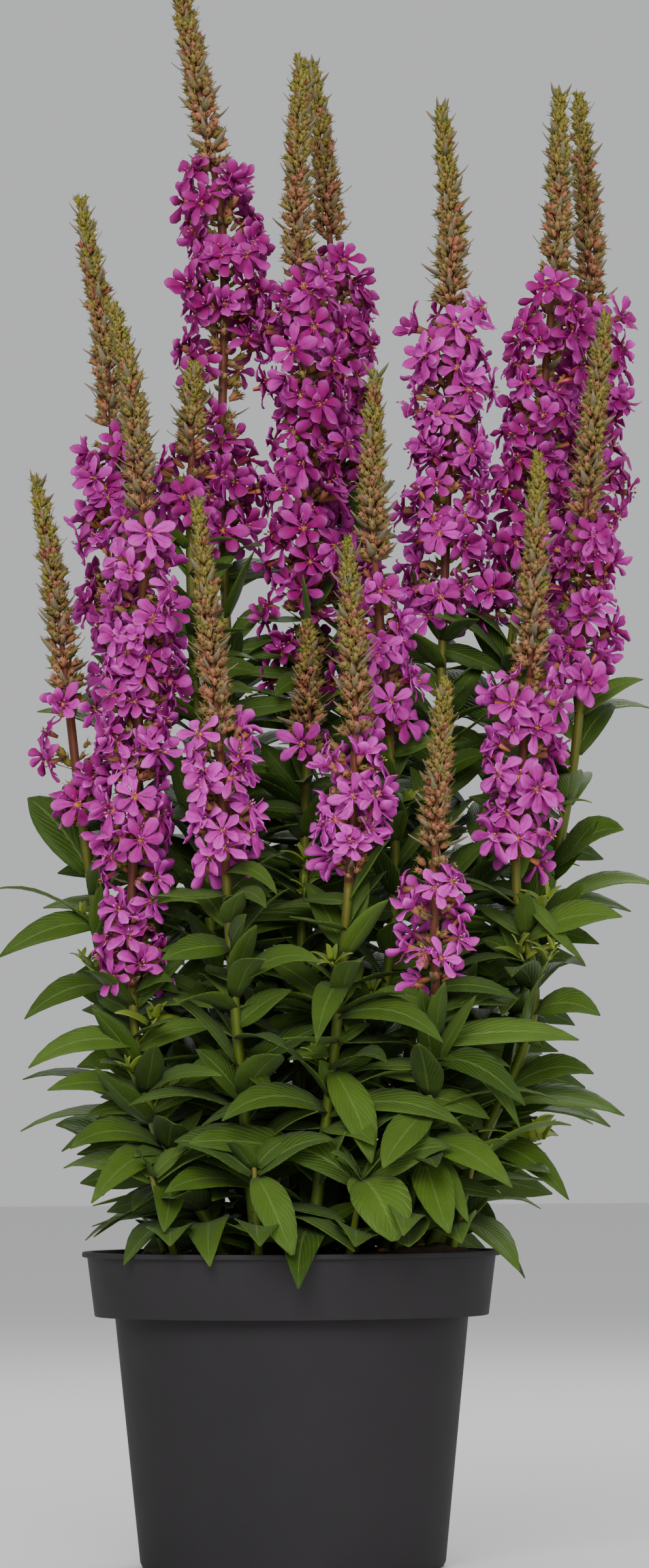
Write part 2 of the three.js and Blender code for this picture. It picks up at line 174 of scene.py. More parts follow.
def feed(tree, socket, value):
    if isinstance(value, (int, float, tuple)):
        socket.default_value = value
    else:
        tree.links.new(value, socket)


def addMath(tree, operation, a, b=0.0, clamp=False):
    node = addNode(tree, "ShaderNodeMath", operation=operation, use_clamp=clamp)
    feed(tree, node.inputs[0], a)
    feed(tree, node.inputs[1], b)
    return node.outputs[0]


def times(tree, a, b):
    return addMath(tree, "MULTIPLY", a, b)


def minus(tree, a, b, clamp=False):
    return addMath(tree, "SUBTRACT", a, b, clamp)


def addMix(tree, share, a, b):
    node = addNode(tree, "ShaderNodeMix", data_type="RGBA")
    for slot, value in ((0, share), (6, a), (7, b)):
        feed(tree, node.inputs[slot], value)
    return node.outputs[2]


def addNoise(tree, scale, detail, roughness):
    place = addNode(tree, "ShaderNodeTexCoord")
    grain = addNode(tree, "ShaderNodeTexNoise")
    feed(tree, grain.inputs["Vector"], place.outputs["Object"])
    feed(tree, grain.inputs["Scale"], scale)
    feed(tree, grain.inputs["Detail"], detail)
    feed(tree, grain.inputs["Roughness"], roughness)
    return grain.outputs["Fac"]


def addBump(tree, height, strength, distance):
    node = addNode(tree, "ShaderNodeBump")
    node.inputs["Strength"].default_value = strength
    node.inputs["Distance"].default_value = distance
    tree.links.new(height, node.inputs["Height"])
    return node.outputs["Normal"]


def shapeMap(tree):
    # X runs across a small shape and Y along it, from 0 to 1
    parts = addNode(tree, "ShaderNodeSeparateXYZ")
    feed(tree, parts.inputs[0], addNode(tree, "ShaderNodeUVMap", uv_map="UVMap").outputs["UV"])
    return parts.outputs


def toneOf(tree):
    return addNode(tree, "ShaderNodeAttribute", attribute_name="tone").outputs["Fac"]


def addGroup(tree, group, **values):
    node = addNode(tree, "ShaderNodeGroup", node_tree=group)
    for label, value in values.items():
        feed(tree, node.inputs[label], value)
    return node.outputs


def newGroup(name, inputs, outputs):
    group = bpy.data.node_groups.new(name, "ShaderNodeTree")
    for label, kind, value in inputs:
        group.interface.new_socket(name=label, in_out="INPUT", socket_type=kind).default_value = value
    for label, kind in outputs:
        group.interface.new_socket(name=label, in_out="OUTPUT", socket_type=kind)
    return group, group.nodes.new("NodeGroupInput").outputs, group.nodes.new("NodeGroupOutput").inputs


mottleForm = {"detail": 4.0, "roughness": 0.6, "contrast": 0.9, "middle": 0.45}


def makeMottle(s):
    # two colours in soft blotches; Tone moves the whole piece towards one of them
    group, given, made = newGroup(
        "mottle",
        (("Dark", "NodeSocketColor", (0, 0, 0, 1)), ("Light", "NodeSocketColor", (1, 1, 1, 1)),
         ("Scale", "NodeSocketFloat", 100.0), ("Tone", "NodeSocketFloat", 0.5)),
        (("Color", "NodeSocketColor"), ("Height", "NodeSocketFloat")))
    grain = addNoise(group, given["Scale"], s["detail"], s["roughness"])
    spread = addMath(group, "ADD", times(group, grain, s["contrast"]), given["Tone"])
    share = minus(group, spread, s["middle"], clamp=True)
    feed(group, made["Color"], addMix(group, share, given["Dark"], given["Light"]))
    feed(group, made["Height"], grain)
    return group


def makeVeins():
    # a midrib down the blade and side veins that run forwards from it
    group, given, made = newGroup(
        "veins",
        (("Count", "NodeSocketFloat", 12.0), ("Slant", "NodeSocketFloat", 0.9),
         ("Rib", "NodeSocketFloat", 0.05), ("Sharpness", "NodeSocketFloat", 7.0)),
        (("Midrib", "NodeSocketFloat"), ("Side Veins", "NodeSocketFloat")))
    spot = shapeMap(group)
    across = addMath(group, "ABSOLUTE", minus(group, spot["X"], 0.5))
    near = addMath(group, "DIVIDE", across, given["Rib"])
    slanted = minus(group, spot["Y"], times(group, across, given["Slant"]))
    wave = addMath(group, "FRACT", times(group, slanted, given["Count"]))
    away = addMath(group, "ABSOLUTE", minus(group, wave, 0.5))
    feed(group, made["Midrib"], minus(group, 1.0, near, clamp=True))
    feed(group, made["Side Veins"], minus(group, 1.0, times(group, away, given["Sharpness"]), clamp=True))
    return group


mottle = makeMottle(mottleForm)
veins = makeVeins()


def mottled(tree, s, tone):
    return addGroup(tree, mottle, Dark=s["dark"], Light=s["light"], Scale=s["scale"], Tone=tone)


# Finishes of the plant
leafFinish = {
    "dark": (0.024, 0.057, 0.0006, 1),
    "light": (0.079, 0.146, 0.012, 1),
    "rib": (0.16, 0.25, 0.05, 1),
    "scale": 55.0,
    "veins": {"Count": 9.0, "Slant": 1.0, "Rib": 0.05, "Sharpness": 5.0},
    "sideShare": 0.3,
    "ribShare": 0.55,
    "bump": (0.6, 0.0006),
    "roughness": 0.52,
    "specular": 0.22,
    "sheen": 0.05,
}
petalFinish = {
    "dark": (0.25, 0.001, 0.125, 1),
    "light": (0.60, 0.048, 0.455, 1),
    "vein": (0.30, 0.0, 0.09, 1),
    # painted highlight: the lighter colour that each petal is mixed towards at its outer end
    "tipHighlight": (0.82, 0.24, 0.77, 1),
    "scale": 170.0,
    "veins": {"Count": 5.0, "Slant": 0.5, "Rib": 0.16, "Sharpness": 6.0},
    "veinShare": 0.6,
    "tipHighlightReach": 3.0,
    "tipHighlightShare": 0.3,
    "bump": (0.5, 0.0006),
    "roughness": 0.65,
    "specular": 0.1,
    "sheen": 0.0,
}
growthFinishes = {
    "bud": {"dark": (0.215, 0.198, 0.030, 1), "light": (0.215, 0.110, 0.060, 1), "end": (0.34, 0.21, 0.10, 1),
            "reach": 4.0, "scale": 240.0, "roughness": 0.9, "specular": 0.05, "sheen": 0.0},
    "greenStem": {"dark": (0.062, 0.108, 0.003, 1), "light": (0.125, 0.190, 0.010, 1),
                  "end": (0.13, 0.105, 0.012, 1), "reach": 3.0, "scale": 90.0, "roughness": 0.5,
                  "specular": 0.3, "sheen": 0.05},
    "redStem": {"dark": (0.080, 0.018, 0.012, 1), "light": (0.21, 0.065, 0.035, 1),
                "end": (0.16, 0.055, 0.02, 1), "reach": 3.0, "scale": 120.0, "roughness": 0.55,
                "specular": 0.25, "sheen": 0.08},
    "calyx": {"dark": (0.17, 0.050, 0.030, 1), "light": (0.36, 0.165, 0.075, 1), "end": (0.40, 0.16, 0.12, 1),
              "reach": 3.0, "scale": 260.0, "roughness": 0.85, "specular": 0.08, "sheen": 0.0},
    "flowerHeart": {"dark": (0.62, 0.20, 0.04, 1), "light": (0.84, 0.48, 0.12, 1),
                    "end": (0.66, 0.24, 0.08, 1), "reach": 2.0, "scale": 400.0, "roughness": 0.6,
                    "specular": 0.2, "sheen": 0.0},
    "bract": {"dark": (0.095, 0.115, 0.035, 1), "light": (0.19, 0.16, 0.085, 1), "end": (0.24, 0.16, 0.11, 1),
              "reach": 2.0, "scale": 150.0, "roughness": 0.6, "specular": 0.25, "sheen": 0.05},
    "youngLeaf": {"dark": (0.085, 0.135, 0.008, 1), "light": (0.20, 0.26, 0.02, 1),
                  "end": (0.20, 0.27, 0.05, 1), "reach": 2.0, "scale": 90.0, "roughness": 0.5,
                  "specular": 0.3, "sheen": 0.05},
}
growthShared = {"endShare": 0.8, "bump": (0.5, 0.0004)}


def paintLeaf(tree, base, s):
    lines = addGroup(tree, veins, **s["veins"])
    sides = addMix(tree, times(tree, lines["Side Veins"], s["sideShare"]), base["Color"], s["rib"])
    color = addMix(tree, times(tree, lines["Midrib"], s["ribShare"]), sides, s["rib"])
    return color, times(tree, addMath(tree, "ADD", lines["Side Veins"], lines["Midrib"]), -1.0)


def paintPetal(tree, base, s):
    lines = addGroup(tree, veins, **s["veins"])
    along = shapeMap(tree)["Y"]
    throat = times(tree, lines["Midrib"], minus(tree, 1.1, along, clamp=True))
    veined = addMix(tree, times(tree, throat, s["veinShare"]), base["Color"], s["vein"])
    # painted highlight: the petal turns lighter towards its outer end, as if its crinkled tips caught the
    # light
    edge = times(tree, addMath(tree, "POWER", along, s["tipHighlightReach"]), s["tipHighlightShare"])
    return addMix(tree, edge, veined, s["tipHighlight"]), base["Height"]


def paintGrowth(tree, base, s):
    # the far end takes the end colour; a higher reach keeps it nearer to the tip
    end = times(tree, addMath(tree, "POWER", shapeMap(tree)["Y"], s["reach"]), s["endShare"])
    return addMix(tree, end, base["Color"], s["end"]), base["Height"]


def plantMaterial(name, s, paint):
    material, tree, shader = makeMaterial(name)
    base = mottled(tree, s, toneOf(tree))
    color, relief = paint(tree, base, s)
    feed(tree, shader.inputs["Base Color"], color)
    feed(tree, shader.inputs["Normal"], addBump(tree, relief, *s["bump"]))
    shader.inputs["Roughness"].default_value = s["roughness"]
    shader.inputs["Specular IOR Level"].default_value = s["specular"]
    shader.inputs["Sheen Weight"].default_value = s["sheen"]
    return material


looks = [plantMaterial("leafBlade", leafFinish, paintLeaf), plantMaterial("petal", petalFinish, paintPetal)]
for name, finish in growthFinishes.items():
    looks.append(plantMaterial(name, dict(growthShared, **finish), paintGrowth))
(leafLook, petalLook, budLook, greenLook, redLook, calyxLook, heartLook, bractLook,
 youngLook) = range(len(looks))
print("plant finishes ready")


# Tools for building and placing small shapes
def startShape():
    bm = bmesh.new()
    bm.loops.layers.uv.new("UVMap")
    bm.verts.layers.float.new("tone")
    return bm


def endShape(bm, name):
    for face in bm.faces:
        face.smooth = True
    mesh = bpy.data.meshes.new(name)
    bm.to_mesh(mesh)
    bm.free()
    return mesh


def endSmallShape(bm, name):
    # small shapes are built in millimetres
    bmesh.ops.scale(bm, vec=(mm, mm, mm), verts=bm.verts)
    return endShape(bm, name)


def shiftTone(mesh, tone):
    values = [0.0] * len(mesh.vertices)
    mesh.attributes["tone"].data.foreach_get("value", values)
    mesh.attributes["tone"].data.foreach_set("value", [value + tone for value in values])


def stamp(bm, template, matrix, tone):
    copy = template.copy()
    copy.transform(matrix)
    shiftTone(copy, tone)
    bm.from_mesh(copy)
    bpy.data.meshes.remove(copy)


def setTone(bm, verts, tone):
    layer = bm.verts.layers.float["tone"]
    for vert in verts:
        vert[layer] = tone


def facing(place, along, spin, size):
    turn = along.to_track_quat("Z", "Y").to_matrix().to_4x4()
    return Matrix.Translation(place) @ turn @ Matrix.Rotation(spin, 4, "Z") @ Matrix.Scale(size, 4)


def leaning(turn, out, height, lean):
    # a seat turned round the axis, some way out from it, that leans outwards
    seat = Matrix.Rotation(turn, 4, "Z") @ Matrix.Translation((out, 0, height))
    return seat @ Matrix.Rotation(lean, 4, "Y")


def placePiece(mesh, name, slot, *nodes):
    piece = addObject(name, mesh)
    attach(piece, "root")
    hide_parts(*nodes)
    return piece


def addPlantPiece(bm, name, slot, *nodes):
    used = sorted({face.material_index for face in bm.faces})
    for face in bm.faces:
        face.material_index = used.index(face.material_index)
    mesh = endShape(bm, name)
    for look in used:
        mesh.materials.append(looks[look])
    return placePiece(mesh, name, slot, *nodes)


def blade(bm, squares, thickness, place, look):
    # a sheet of squares, moved to place(side from -1 to 1, share from 0 to 1) and given its thickness
    uv = bm.loops.layers.uv["UVMap"]
    before = len(bm.faces)
    verts = bmesh.ops.create_grid(bm, x_segments=squares[0], y_segments=squares[1], size=1)["verts"]
    faces = list(bm.faces)[before:]
    for face in faces:
        face.material_index = look
        for loop in face.loops:
            loop[uv].uv = (0.5 + 0.5 * loop.vert.co.x, 0.5 + 0.5 * loop.vert.co.y)
    for vert in verts:
        vert.co = place(vert.co.x, 0.5 + 0.5 * vert.co.y)
    for face in faces:
        face.normal_update()
    bmesh.ops.solidify(bm, geom=faces, thickness=thickness)


def addCone(bm, segments, radii, length, matrix, look):
    before = len(bm.faces)
    seat = matrix @ Matrix.Translation((0, 0, length / 2))
    bmesh.ops.create_cone(bm, segments=segments, radius1=radii[0], radius2=radii[1], depth=length,
                          cap_ends=True, matrix=seat)
    faces = list(bm.faces)[before:]
    uv = bm.loops.layers.uv["UVMap"]
    inside = seat.inverted()
    for face in faces:
        face.material_index = look
        for loop in face.loops:
            loop[uv].uv = (0.5, 0.5 + (inside @ loop.vert.co).z / length)
    return faces


# Flowers: six crinkled petals round a tube, in forms from flat to half closed.
# In this and the dictionaries below, a pair is mostly the lowest and highest value of a draw.
flowerForm = {
    "forms": 12,
    "cups": (2, 52),
    "petals": 6,
    "petalTurn": (-0.14, 0.14),
    "petalLength": 9.4,
    "petalLengths": (0.86, 1.1),
    "petalWidth": 5.8,
    "petalWidths": (0.8, 1.12),
    "petalSquares": (2, 4),
    "tilt": (-0.28, 0.28),
    "curl": (-0.02, 0.04),
    "bend": (-1.1, 1.1),
    "claw": 0.2,
    "widestAt": 0.68,
    "fold": 0.45,
    "thickness": 0.22,
    "crinkle": 0.85,
    "toneShift": (-0.32, 0.32),
    "spread": 1.5,
    "tubeLength": 6.2,
    "tubeRadii": (0.9, 1.9),
    "heartFrom": 0.9,
    "stamens": 4,
    "stamenOut": 0.6,
    "stamenLength": 3.4,
    "stamenLengths": (0.6, 1.1),
    "stamenLean": (0.1, 0.5),
    "stamenRadii": (0.16, 0.1),
    "antherRadius": 0.65,
    "antherLength": 1.3,
    "overlap": 0.2,
}


def petalPlace(s, cup, draw):
    tilt = cup + between(draw, *s["tilt"])
    curl = between(draw, *s["curl"])
    phase = anyTurn(draw)
    length = s["petalLength"] * between(draw, *s["petalLengths"])
    half = s["petalWidth"] / 2 * between(draw, *s["petalWidths"])
    bend = between(draw, *s["bend"])

    def place(side, share):
        # a narrow claw, a broad part that is crinkled more and more outwards, and a rounded end
        t = 1 - (1 - share) ** 1.5  # the squares are longest near the claw
        swell = mix(s["claw"], 1, min(1, t / s["widestAt"]) ** 1.4)
        if t > s["widestAt"]:
            swell *= math.sqrt(max(0.05, 1 - ((t - s["widestAt"]) / 0.34) ** 2))
        reach = length * (t + 0.03 * (1 - side * side) * t ** 4)
        wave = s["crinkle"] * t * (math.sin(8 * t + phase) + 0.8 * side * math.sin(6 * t + 2 * phase))
        fold = s["fold"] * half * side * side * (1 - t)
        flat = Vector((side * half * swell + bend * t * t, reach, wave + fold - curl * reach * reach))
        return Matrix.Rotation(tilt, 3, "X") @ flat

    return place


def makeFlower(index, s):
    draw = seeded(900 + index)
    cup = math.radians(mix(*s["cups"], (index / (s["forms"] - 1)) ** 1.6))
    mouth = s["tubeLength"] - s["overlap"]
    bm = startShape()
    for petal in range(s["petals"]):
        count = len(bm.verts)
        blade(bm, s["petalSquares"], s["thickness"], petalPlace(s, cup, draw), petalLook)
        angle = 2 * math.pi * petal / s["petals"] + between(draw, *s["petalTurn"])
        seat = Matrix.Translation((0, 0, mouth)) @ Matrix.Rotation(angle, 4, "Z")
        seat = seat @ Matrix.Translation((0, s["spread"], 0))
        petalVerts = list(bm.verts)[count:]
        bmesh.ops.transform(bm, matrix=seat, verts=petalVerts)
        setTone(bm, petalVerts, between(draw, *s["toneShift"]))
    tube = addCone(bm, 6, s["tubeRadii"], s["tubeLength"], Matrix(), calyxLook)
    for face in tube:
        if face.calc_center_median().z > s["tubeLength"] * s["heartFrom"]:
            face.material_index = heartLook
    for stamen in range(s["stamens"]):
        turn = 2 * math.pi * (stamen + 0.7 * draw()) / s["stamens"]
        foot = s["tubeLength"] - 2 * s["overlap"]
        seat = leaning(turn, s["stamenOut"], foot, between(draw, *s["stamenLean"]))
        length = s["stamenLength"] * between(draw, *s["stamenLengths"])
        addCone(bm, 3, s["stamenRadii"], length, seat, petalLook)
        anther = seat @ Matrix.Translation((0, 0, length - s["overlap"]))
        addCone(bm, 4, (s["antherRadius"], 0), s["antherLength"], anther, heartLook)
    return endSmallShape(bm, "flowerForm%d" % index)


# Buds and spent calyxes: a ridged swelling with fine teeth at its tip
budForm = {
    "looks": (budLook, budLook, budLook, calyxLook, calyxLook),
    "length": 4.4,
    "radius": 1.2,
    "segments": (5, 4),
    "ridge": 0.16,
    "teeth": 6,
    "toothFrom": 0.6,
    "toothOut": 0.6,
    "toothRadius": 0.42,
    "toothLength": 2.7,
    "toothLengths": (0.7, 1.2),
    "toothLean": (0.15, 0.75),
}


def makeBud(index, s):
    draw = seeded(40 + index)
    look = s["looks"][index]
    bm = startShape()
    uv = bm.loops.layers.uv["UVMap"]
    verts = bmesh.ops.create_uvsphere(bm, u_segments=s["segments"][0], v_segments=s["segments"][1],
                                      radius=1)["verts"]
    for face in bm.faces:
        face.material_index = look
        for loop in face.loops:
            loop[uv].uv = (0.5, 0.5 + 0.5 * loop.vert.co.z)
    for vert in verts:
        # pear-shaped, widest a little above its middle, with two ridges
        share = 0.5 + 0.5 * vert.co.z
        slim = s["radius"] * (0.75 + 0.85 * share - 0.85 * share ** 2.5)
        ridge = 1 + s["ridge"] * math.cos(2 * math.atan2(vert.co.y, vert.co.x) + index)
        vert.co = Vector((vert.co.x * slim * ridge, vert.co.y * slim * ridge, s["length"] * share))
    for tooth in range(s["teeth"]):
        turn = 2 * math.pi * (tooth + draw()) / s["teeth"]
        seat = leaning(turn, s["toothOut"], s["length"] * s["toothFrom"], between(draw, *s["toothLean"]))
        length = s["toothLength"] * between(draw, *s["toothLengths"])
        addCone(bm, 3, (s["toothRadius"], 0), length, seat, look)
    return endSmallShape(bm, "budForm%d" % index)


# Bracts: narrow pointed leaves that stand out of the spikes
bractForm = {
    "forms": 5,
    "length": 9.6,
    "width": 2.3,
    "thickness": 0.25,
    "squares": (1, 4),
    "droop": (-0.3, 0.3),
    "twist": (-0.6, 0.6),
    "fold": 0.3,
}


def makeBract(index, s):
    draw = seeded(70 + index)
    droop = between(draw, *s["droop"])
    twist = between(draw, *s["twist"])
    bm = startShape()

    def place(side, share):
        half = s["width"] / 2 * (0.35 * (1 - share) + math.sin(math.pi * (0.97 * share) ** 0.7))
        raised = s["fold"] * half * side * side - droop * s["length"] * share * share
        return Matrix.Rotation(twist * share, 3, "Z") @ Vector((side * half, raised, s["length"] * share))

    blade(bm, s["squares"], s["thickness"], place, bractLook)
    return endSmallShape(bm, "bractForm%d" % index)


flowerShapes = [makeFlower(i, flowerForm) for i in range(flowerForm["forms"])]
budShapes = [makeBud(i, budForm) for i in range(len(budForm["looks"]))]
bractShapes = [makeBract(i, bractForm) for i in range(bractForm["forms"])]
print("small shapes:", len(flowerShapes[0].polygons), len(budShapes[0].polygons),
      len(bractShapes[0].polygons), "faces")


# Stem axes, as the frame's stems run; blooms are the flowering parts, each with how full it is,
# tone says how pale a stem's flowers are and reach how far they stand out
stems = (
    {"axis": ((-9, 22, 152), (-18, 27, 266), (-30, 39, 466), (-29, 49, 601), (-38, 54, 665), (-53, 60, 744)),
     "blooms": ((466, 508, 1.1), (548, 638, 1.15)), "tone": 0.0, "reach": 1.35},
    {"axis": ((8, 12, 152), (8, 20, 326), (8, 33, 537), (5, 38, 605), (7, 45, 692)),
     "blooms": ((440, 588, 1.1),), "tone": 0.15, "reach": 1.2},
    {"axis": ((19, 42, 152), (26, 56, 327), (24, 75, 525), (20, 85, 615), (12, 95, 696)),
     "blooms": ((486, 602, 1.0),), "tone": 0.1, "reach": 1.1},
    {"axis": ((43, 10, 152), (65, 20, 325), (74, 34, 505), (76, 44, 607), (72, 50, 669)),
     "blooms": ((430, 570, 1.25),), "tone": 0.4, "reach": 1.22},
    {"axis": ((53, 25, 152), (76, 29, 266), (104, 38, 430), (124, 49, 589), (127, 55, 676)),
     "blooms": ((466, 583, 1.05),), "tone": 0.12, "reach": 1.2},
    {"axis": ((62, 48, 152), (89, 55, 251), (136, 76, 458), (142, 92, 585), (138, 105, 682)),
     "blooms": ((474, 575, 1.0),), "tone": 0.1, "reach": 1.15},
    {"axis": ((69, 0, 152), (100, 1, 235), (130, 3, 365), (135, 4, 470), (146, 5, 568)),
     "blooms": ((396, 468, 1.0),), "tone": 0.4, "reach": 1.05},
    {"axis": ((-30, 22, 152), (-52, 24, 236), (-76, 30, 417), (-82, 35, 540), (-95, 40, 626)),
     "blooms": ((420, 515, 0.9),), "tone": 0.35, "reach": 1.1},
    {"axis": ((-35, -32, 152), (-63, -33, 206), (-71, -36, 280), (-65, -43, 440), (-68, -47, 516),
              (-78, -50, 568)),
     "blooms": ((262, 296, 0.8), (306, 342, 0.85), (354, 468, 1.25)), "tone": 0.6, "reach": 1.0},
    {"axis": ((-18, 0, 152), (-34, 3, 266), (-44, 10, 433), (-43, 15, 548)),
     "blooms": ((472, 500, 0.9),), "tone": 0.3, "reach": 1.1},
    {"axis": ((-16, -48, 152), (-26, -57, 275), (-31, -68, 375), (-40, -80, 476)),
     "blooms": ((312, 370, 1.0),), "tone": 0.9, "reach": 1.05},
    {"axis": ((-43, -10, 152), (-72, -11, 230), (-90, -12, 311), (-104, -14, 430), (-114, -15, 491)),
     "blooms": ((337, 347, 0.7), (354, 374, 0.8), (384, 392, 0.6)), "tone": 0.45, "reach": 1.15},
    {"axis": ((29, -10, 152), (40, -11, 236), (48, -13, 324), (39, -18, 470), (40, -20, 539)),
     "blooms": ((376, 446, 0.65),), "tone": 0.55, "reach": 0.95},
    {"axis": ((10, -52, 152), (23, -61, 263), (30, -73, 370), (27, -85, 458)),
     "blooms": ((308, 366, 1.0),), "tone": 1.0, "reach": 0.95},
    {"axis": ((1, 0, 152), (6, 3, 296), (9, 5, 390), (9, 7, 427)),
     "blooms": ((364, 376, 0.25),), "tone": 0.4, "reach": 1.0},
    {"axis": ((50, -50, 152), (64, -58, 224), (65, -74, 316), (70, -90, 396)),
     "blooms": ((258, 316, 0.5),), "tone": 1.0, "reach": 0.95},
    {"axis": ((66, -25, 152), (87, -28, 194), (110, -31, 252), (102, -37, 314), (109, -45, 405),
              (113, -55, 498)),
     "blooms": ((318, 400, 1.05),), "tone": 0.7, "reach": 1.18},
)
stemForm = {
    "rootDepth": 38,
    "footRadius": 2.6,
    "topRadius": 1.9,
    "tipRadius": 0.6,
    "sides": 8,
    "tipSides": 6,
    "step": 6,
    "tipStep": 5,
    "squareness": 0.09,
    "tone": 0.3,
    "toneRange": 0.4,
}


def axisOf(points, depth):
    line = [Vector(p) * mm for p in points]
    rise = (line[1] - line[0]).normalized()
    return [line[0] - rise * depth * mm] + line


def onAxis(line, t):
    # the place and direction at a share of the way along a smooth curve through the line's points
    spot = min(t, 0.999999) * (len(line) - 1)
    i = int(spot)
    w = spot - i
    before = line[i - 1] if i > 0 else 2 * line[0] - line[1]
    after = line[i + 2] if i + 2 < len(line) else 2 * line[-1] - line[-2]
    start, end = 0.5 * (line[i + 1] - before), 0.5 * (after - line[i])
    square = -3 * line[i] + 3 * line[i + 1] - 2 * start - end
    cube = 2 * line[i] - 2 * line[i + 1] + start + end
    place = line[i] + w * (start + w * (square + w * cube))
    return place, (start + w * (2 * square + 3 * w * cube)).normalized()


def atHeight(line, height):
    low, high = 0.0, 1.0
    for _ in range(24):  # halvings, enough for a thousandth of a millimetre
        middle = (low + high) / 2
        if onAxis(line, middle)[0].z < height * mm:
            low = middle
        else:
            high = middle
    return onAxis(line, (low + high) / 2)


def barStations(line, low, high, radii, step):
    # radii are those at the low and the high end
    count = max(2, round((high - low) / step))
    stations = []
    for i in range(count + 1):
        place, along = atHeight(line, mix(low, high, i / count))
        stations.append((place, along, mix(*radii, i / count) * mm))
    return stations


def sweep(bm, stations, sides, look, tone):
    # a closed bar through stations of (place, along, radius), slightly square
    uv = bm.loops.layers.uv["UVMap"]
    before = len(bm.faces)
    ring = bmesh.ops.create_circle(bm, cap_ends=True, segments=sides, radius=1)["verts"]
    rings = [ring]
    edges = list({edge for vert in ring for edge in vert.link_edges})
    for _ in stations[1:]:
        grown = bmesh.ops.extrude_edge_only(bm, edges=edges)["geom"]
        rings.append([g for g in grown if isinstance(g, bmesh.types.BMVert)])
        edges = [g for g in grown
                 if isinstance(g, bmesh.types.BMEdge) and all(v in rings[-1] for v in g.verts)]
    bmesh.ops.contextual_create(bm, geom=edges)
    for order, (ringVerts, (place, along, radius)) in enumerate(zip(rings, stations)):
        side = (Vector((1, 0, 0)) - along * along.x).normalized()
        out = along.cross(side)
        for vert in ringVerts:
            angle = math.atan2(vert.co.y, vert.co.x)
            reach = radius * (1 + stemForm["squareness"] * math.cos(4 * angle))
            vert.co = place + (side * math.cos(angle) + out * math.sin(angle)) * reach
            for loop in vert.link_loops:
                loop[uv].uv = (0.5, order / (len(stations) - 1))
        setTone(bm, ringVerts, tone)
    faces = list(bm.faces)[before:]
    for face in faces:
        face.material_index = look
    bmesh.ops.recalc_face_normals(bm, faces=faces)


def startBar(stations, sides, look, tone):
    bm = startShape()
    sweep(bm, stations, sides, look, tone)
    return bm


# Pot: one turned shell with a deep band, a thin lip and round drain holes
potForm = {
    "height": 143,
    "lipRadius": 95,
    "lipHeight": 2.4,
    "bandTopRadius": 92.7,
    "bandBottomRadius": 89.4,
    "bandHeight": 29.3,
    "bodyTopRadius": 80.2,
    "bodyBottomRadius": 69.3,
    "footRadius": 68,
    "footHeight": 2.6,
    "wall": 1.4,
    "floor": 2,
    "segments": 160,
    "edgeRound": 0.55,
    "roundFrom": 35,
    "sharpFrom": 32,
    "drains": 6,
    "drainRadius": 4.5,
    "drainCircle": 54,
    "drainSegments": 28,
}
potFinish = {
    "dark": (0.0270, 0.0250, 0.0268, 1),
    "light": (0.0385, 0.0360, 0.0385, 1),
    "scale": 14.0,
    "dust": (0.055, 0.046, 0.038, 1),
    "dustShare": 0.35,
    "specks": (420.0, 3.0, 0.7),
    "speckContrast": 6.0,
    "speckStart": 4.3,
    "roughness": (0.5, 0.7),
    "patches": (30.0, 5.0, 0.6),
    "grain": (1500.0, 3.0, 0.6),
    "bump": (0.25, 0.0002),
    "specular": 0.06,
}


def potMaterial(s):
    material, tree, shader = makeMaterial("potPlastic")
    base = mottled(tree, s, 0.5)
    speckle = times(tree, addNoise(tree, *s["specks"]), s["speckContrast"])
    dusty = times(tree, minus(tree, speckle, s["speckStart"], clamp=True), s["dustShare"])
    feed(tree, shader.inputs["Base Color"], addMix(tree, dusty, base["Color"], s["dust"]))
    low, high = s["roughness"]
    rough = addMath(tree, "ADD", times(tree, addNoise(tree, *s["patches"]), high - low), low)
    feed(tree, shader.inputs["Roughness"], rough)
    feed(tree, shader.inputs["Normal"], addBump(tree, addNoise(tree, *s["grain"]), *s["bump"]))
    shader.inputs["Specular IOR Level"].default_value = s["specular"]
    return material


def turned(points, segments):
    # a body of revolution from a line of (radius, height) points that starts and ends on the axis
    bm = bmesh.new()
    line = [bm.verts.new((radius * mm, 0, height * mm)) for radius, height in points]
    edges = [bm.edges.new(pair) for pair in zip(line, line[1:])]
    bmesh.ops.spin(bm, geom=line + edges, cent=(0, 0, 0), axis=(0, 0, 1), angle=2 * math.pi,
                   steps=segments, use_merge=True, use_duplicate=False)
    bmesh.ops.remove_doubles(bm, verts=bm.verts, dist=0.02 * mm)
    bmesh.ops.recalc_face_normals(bm, faces=bm.faces)
    return bm


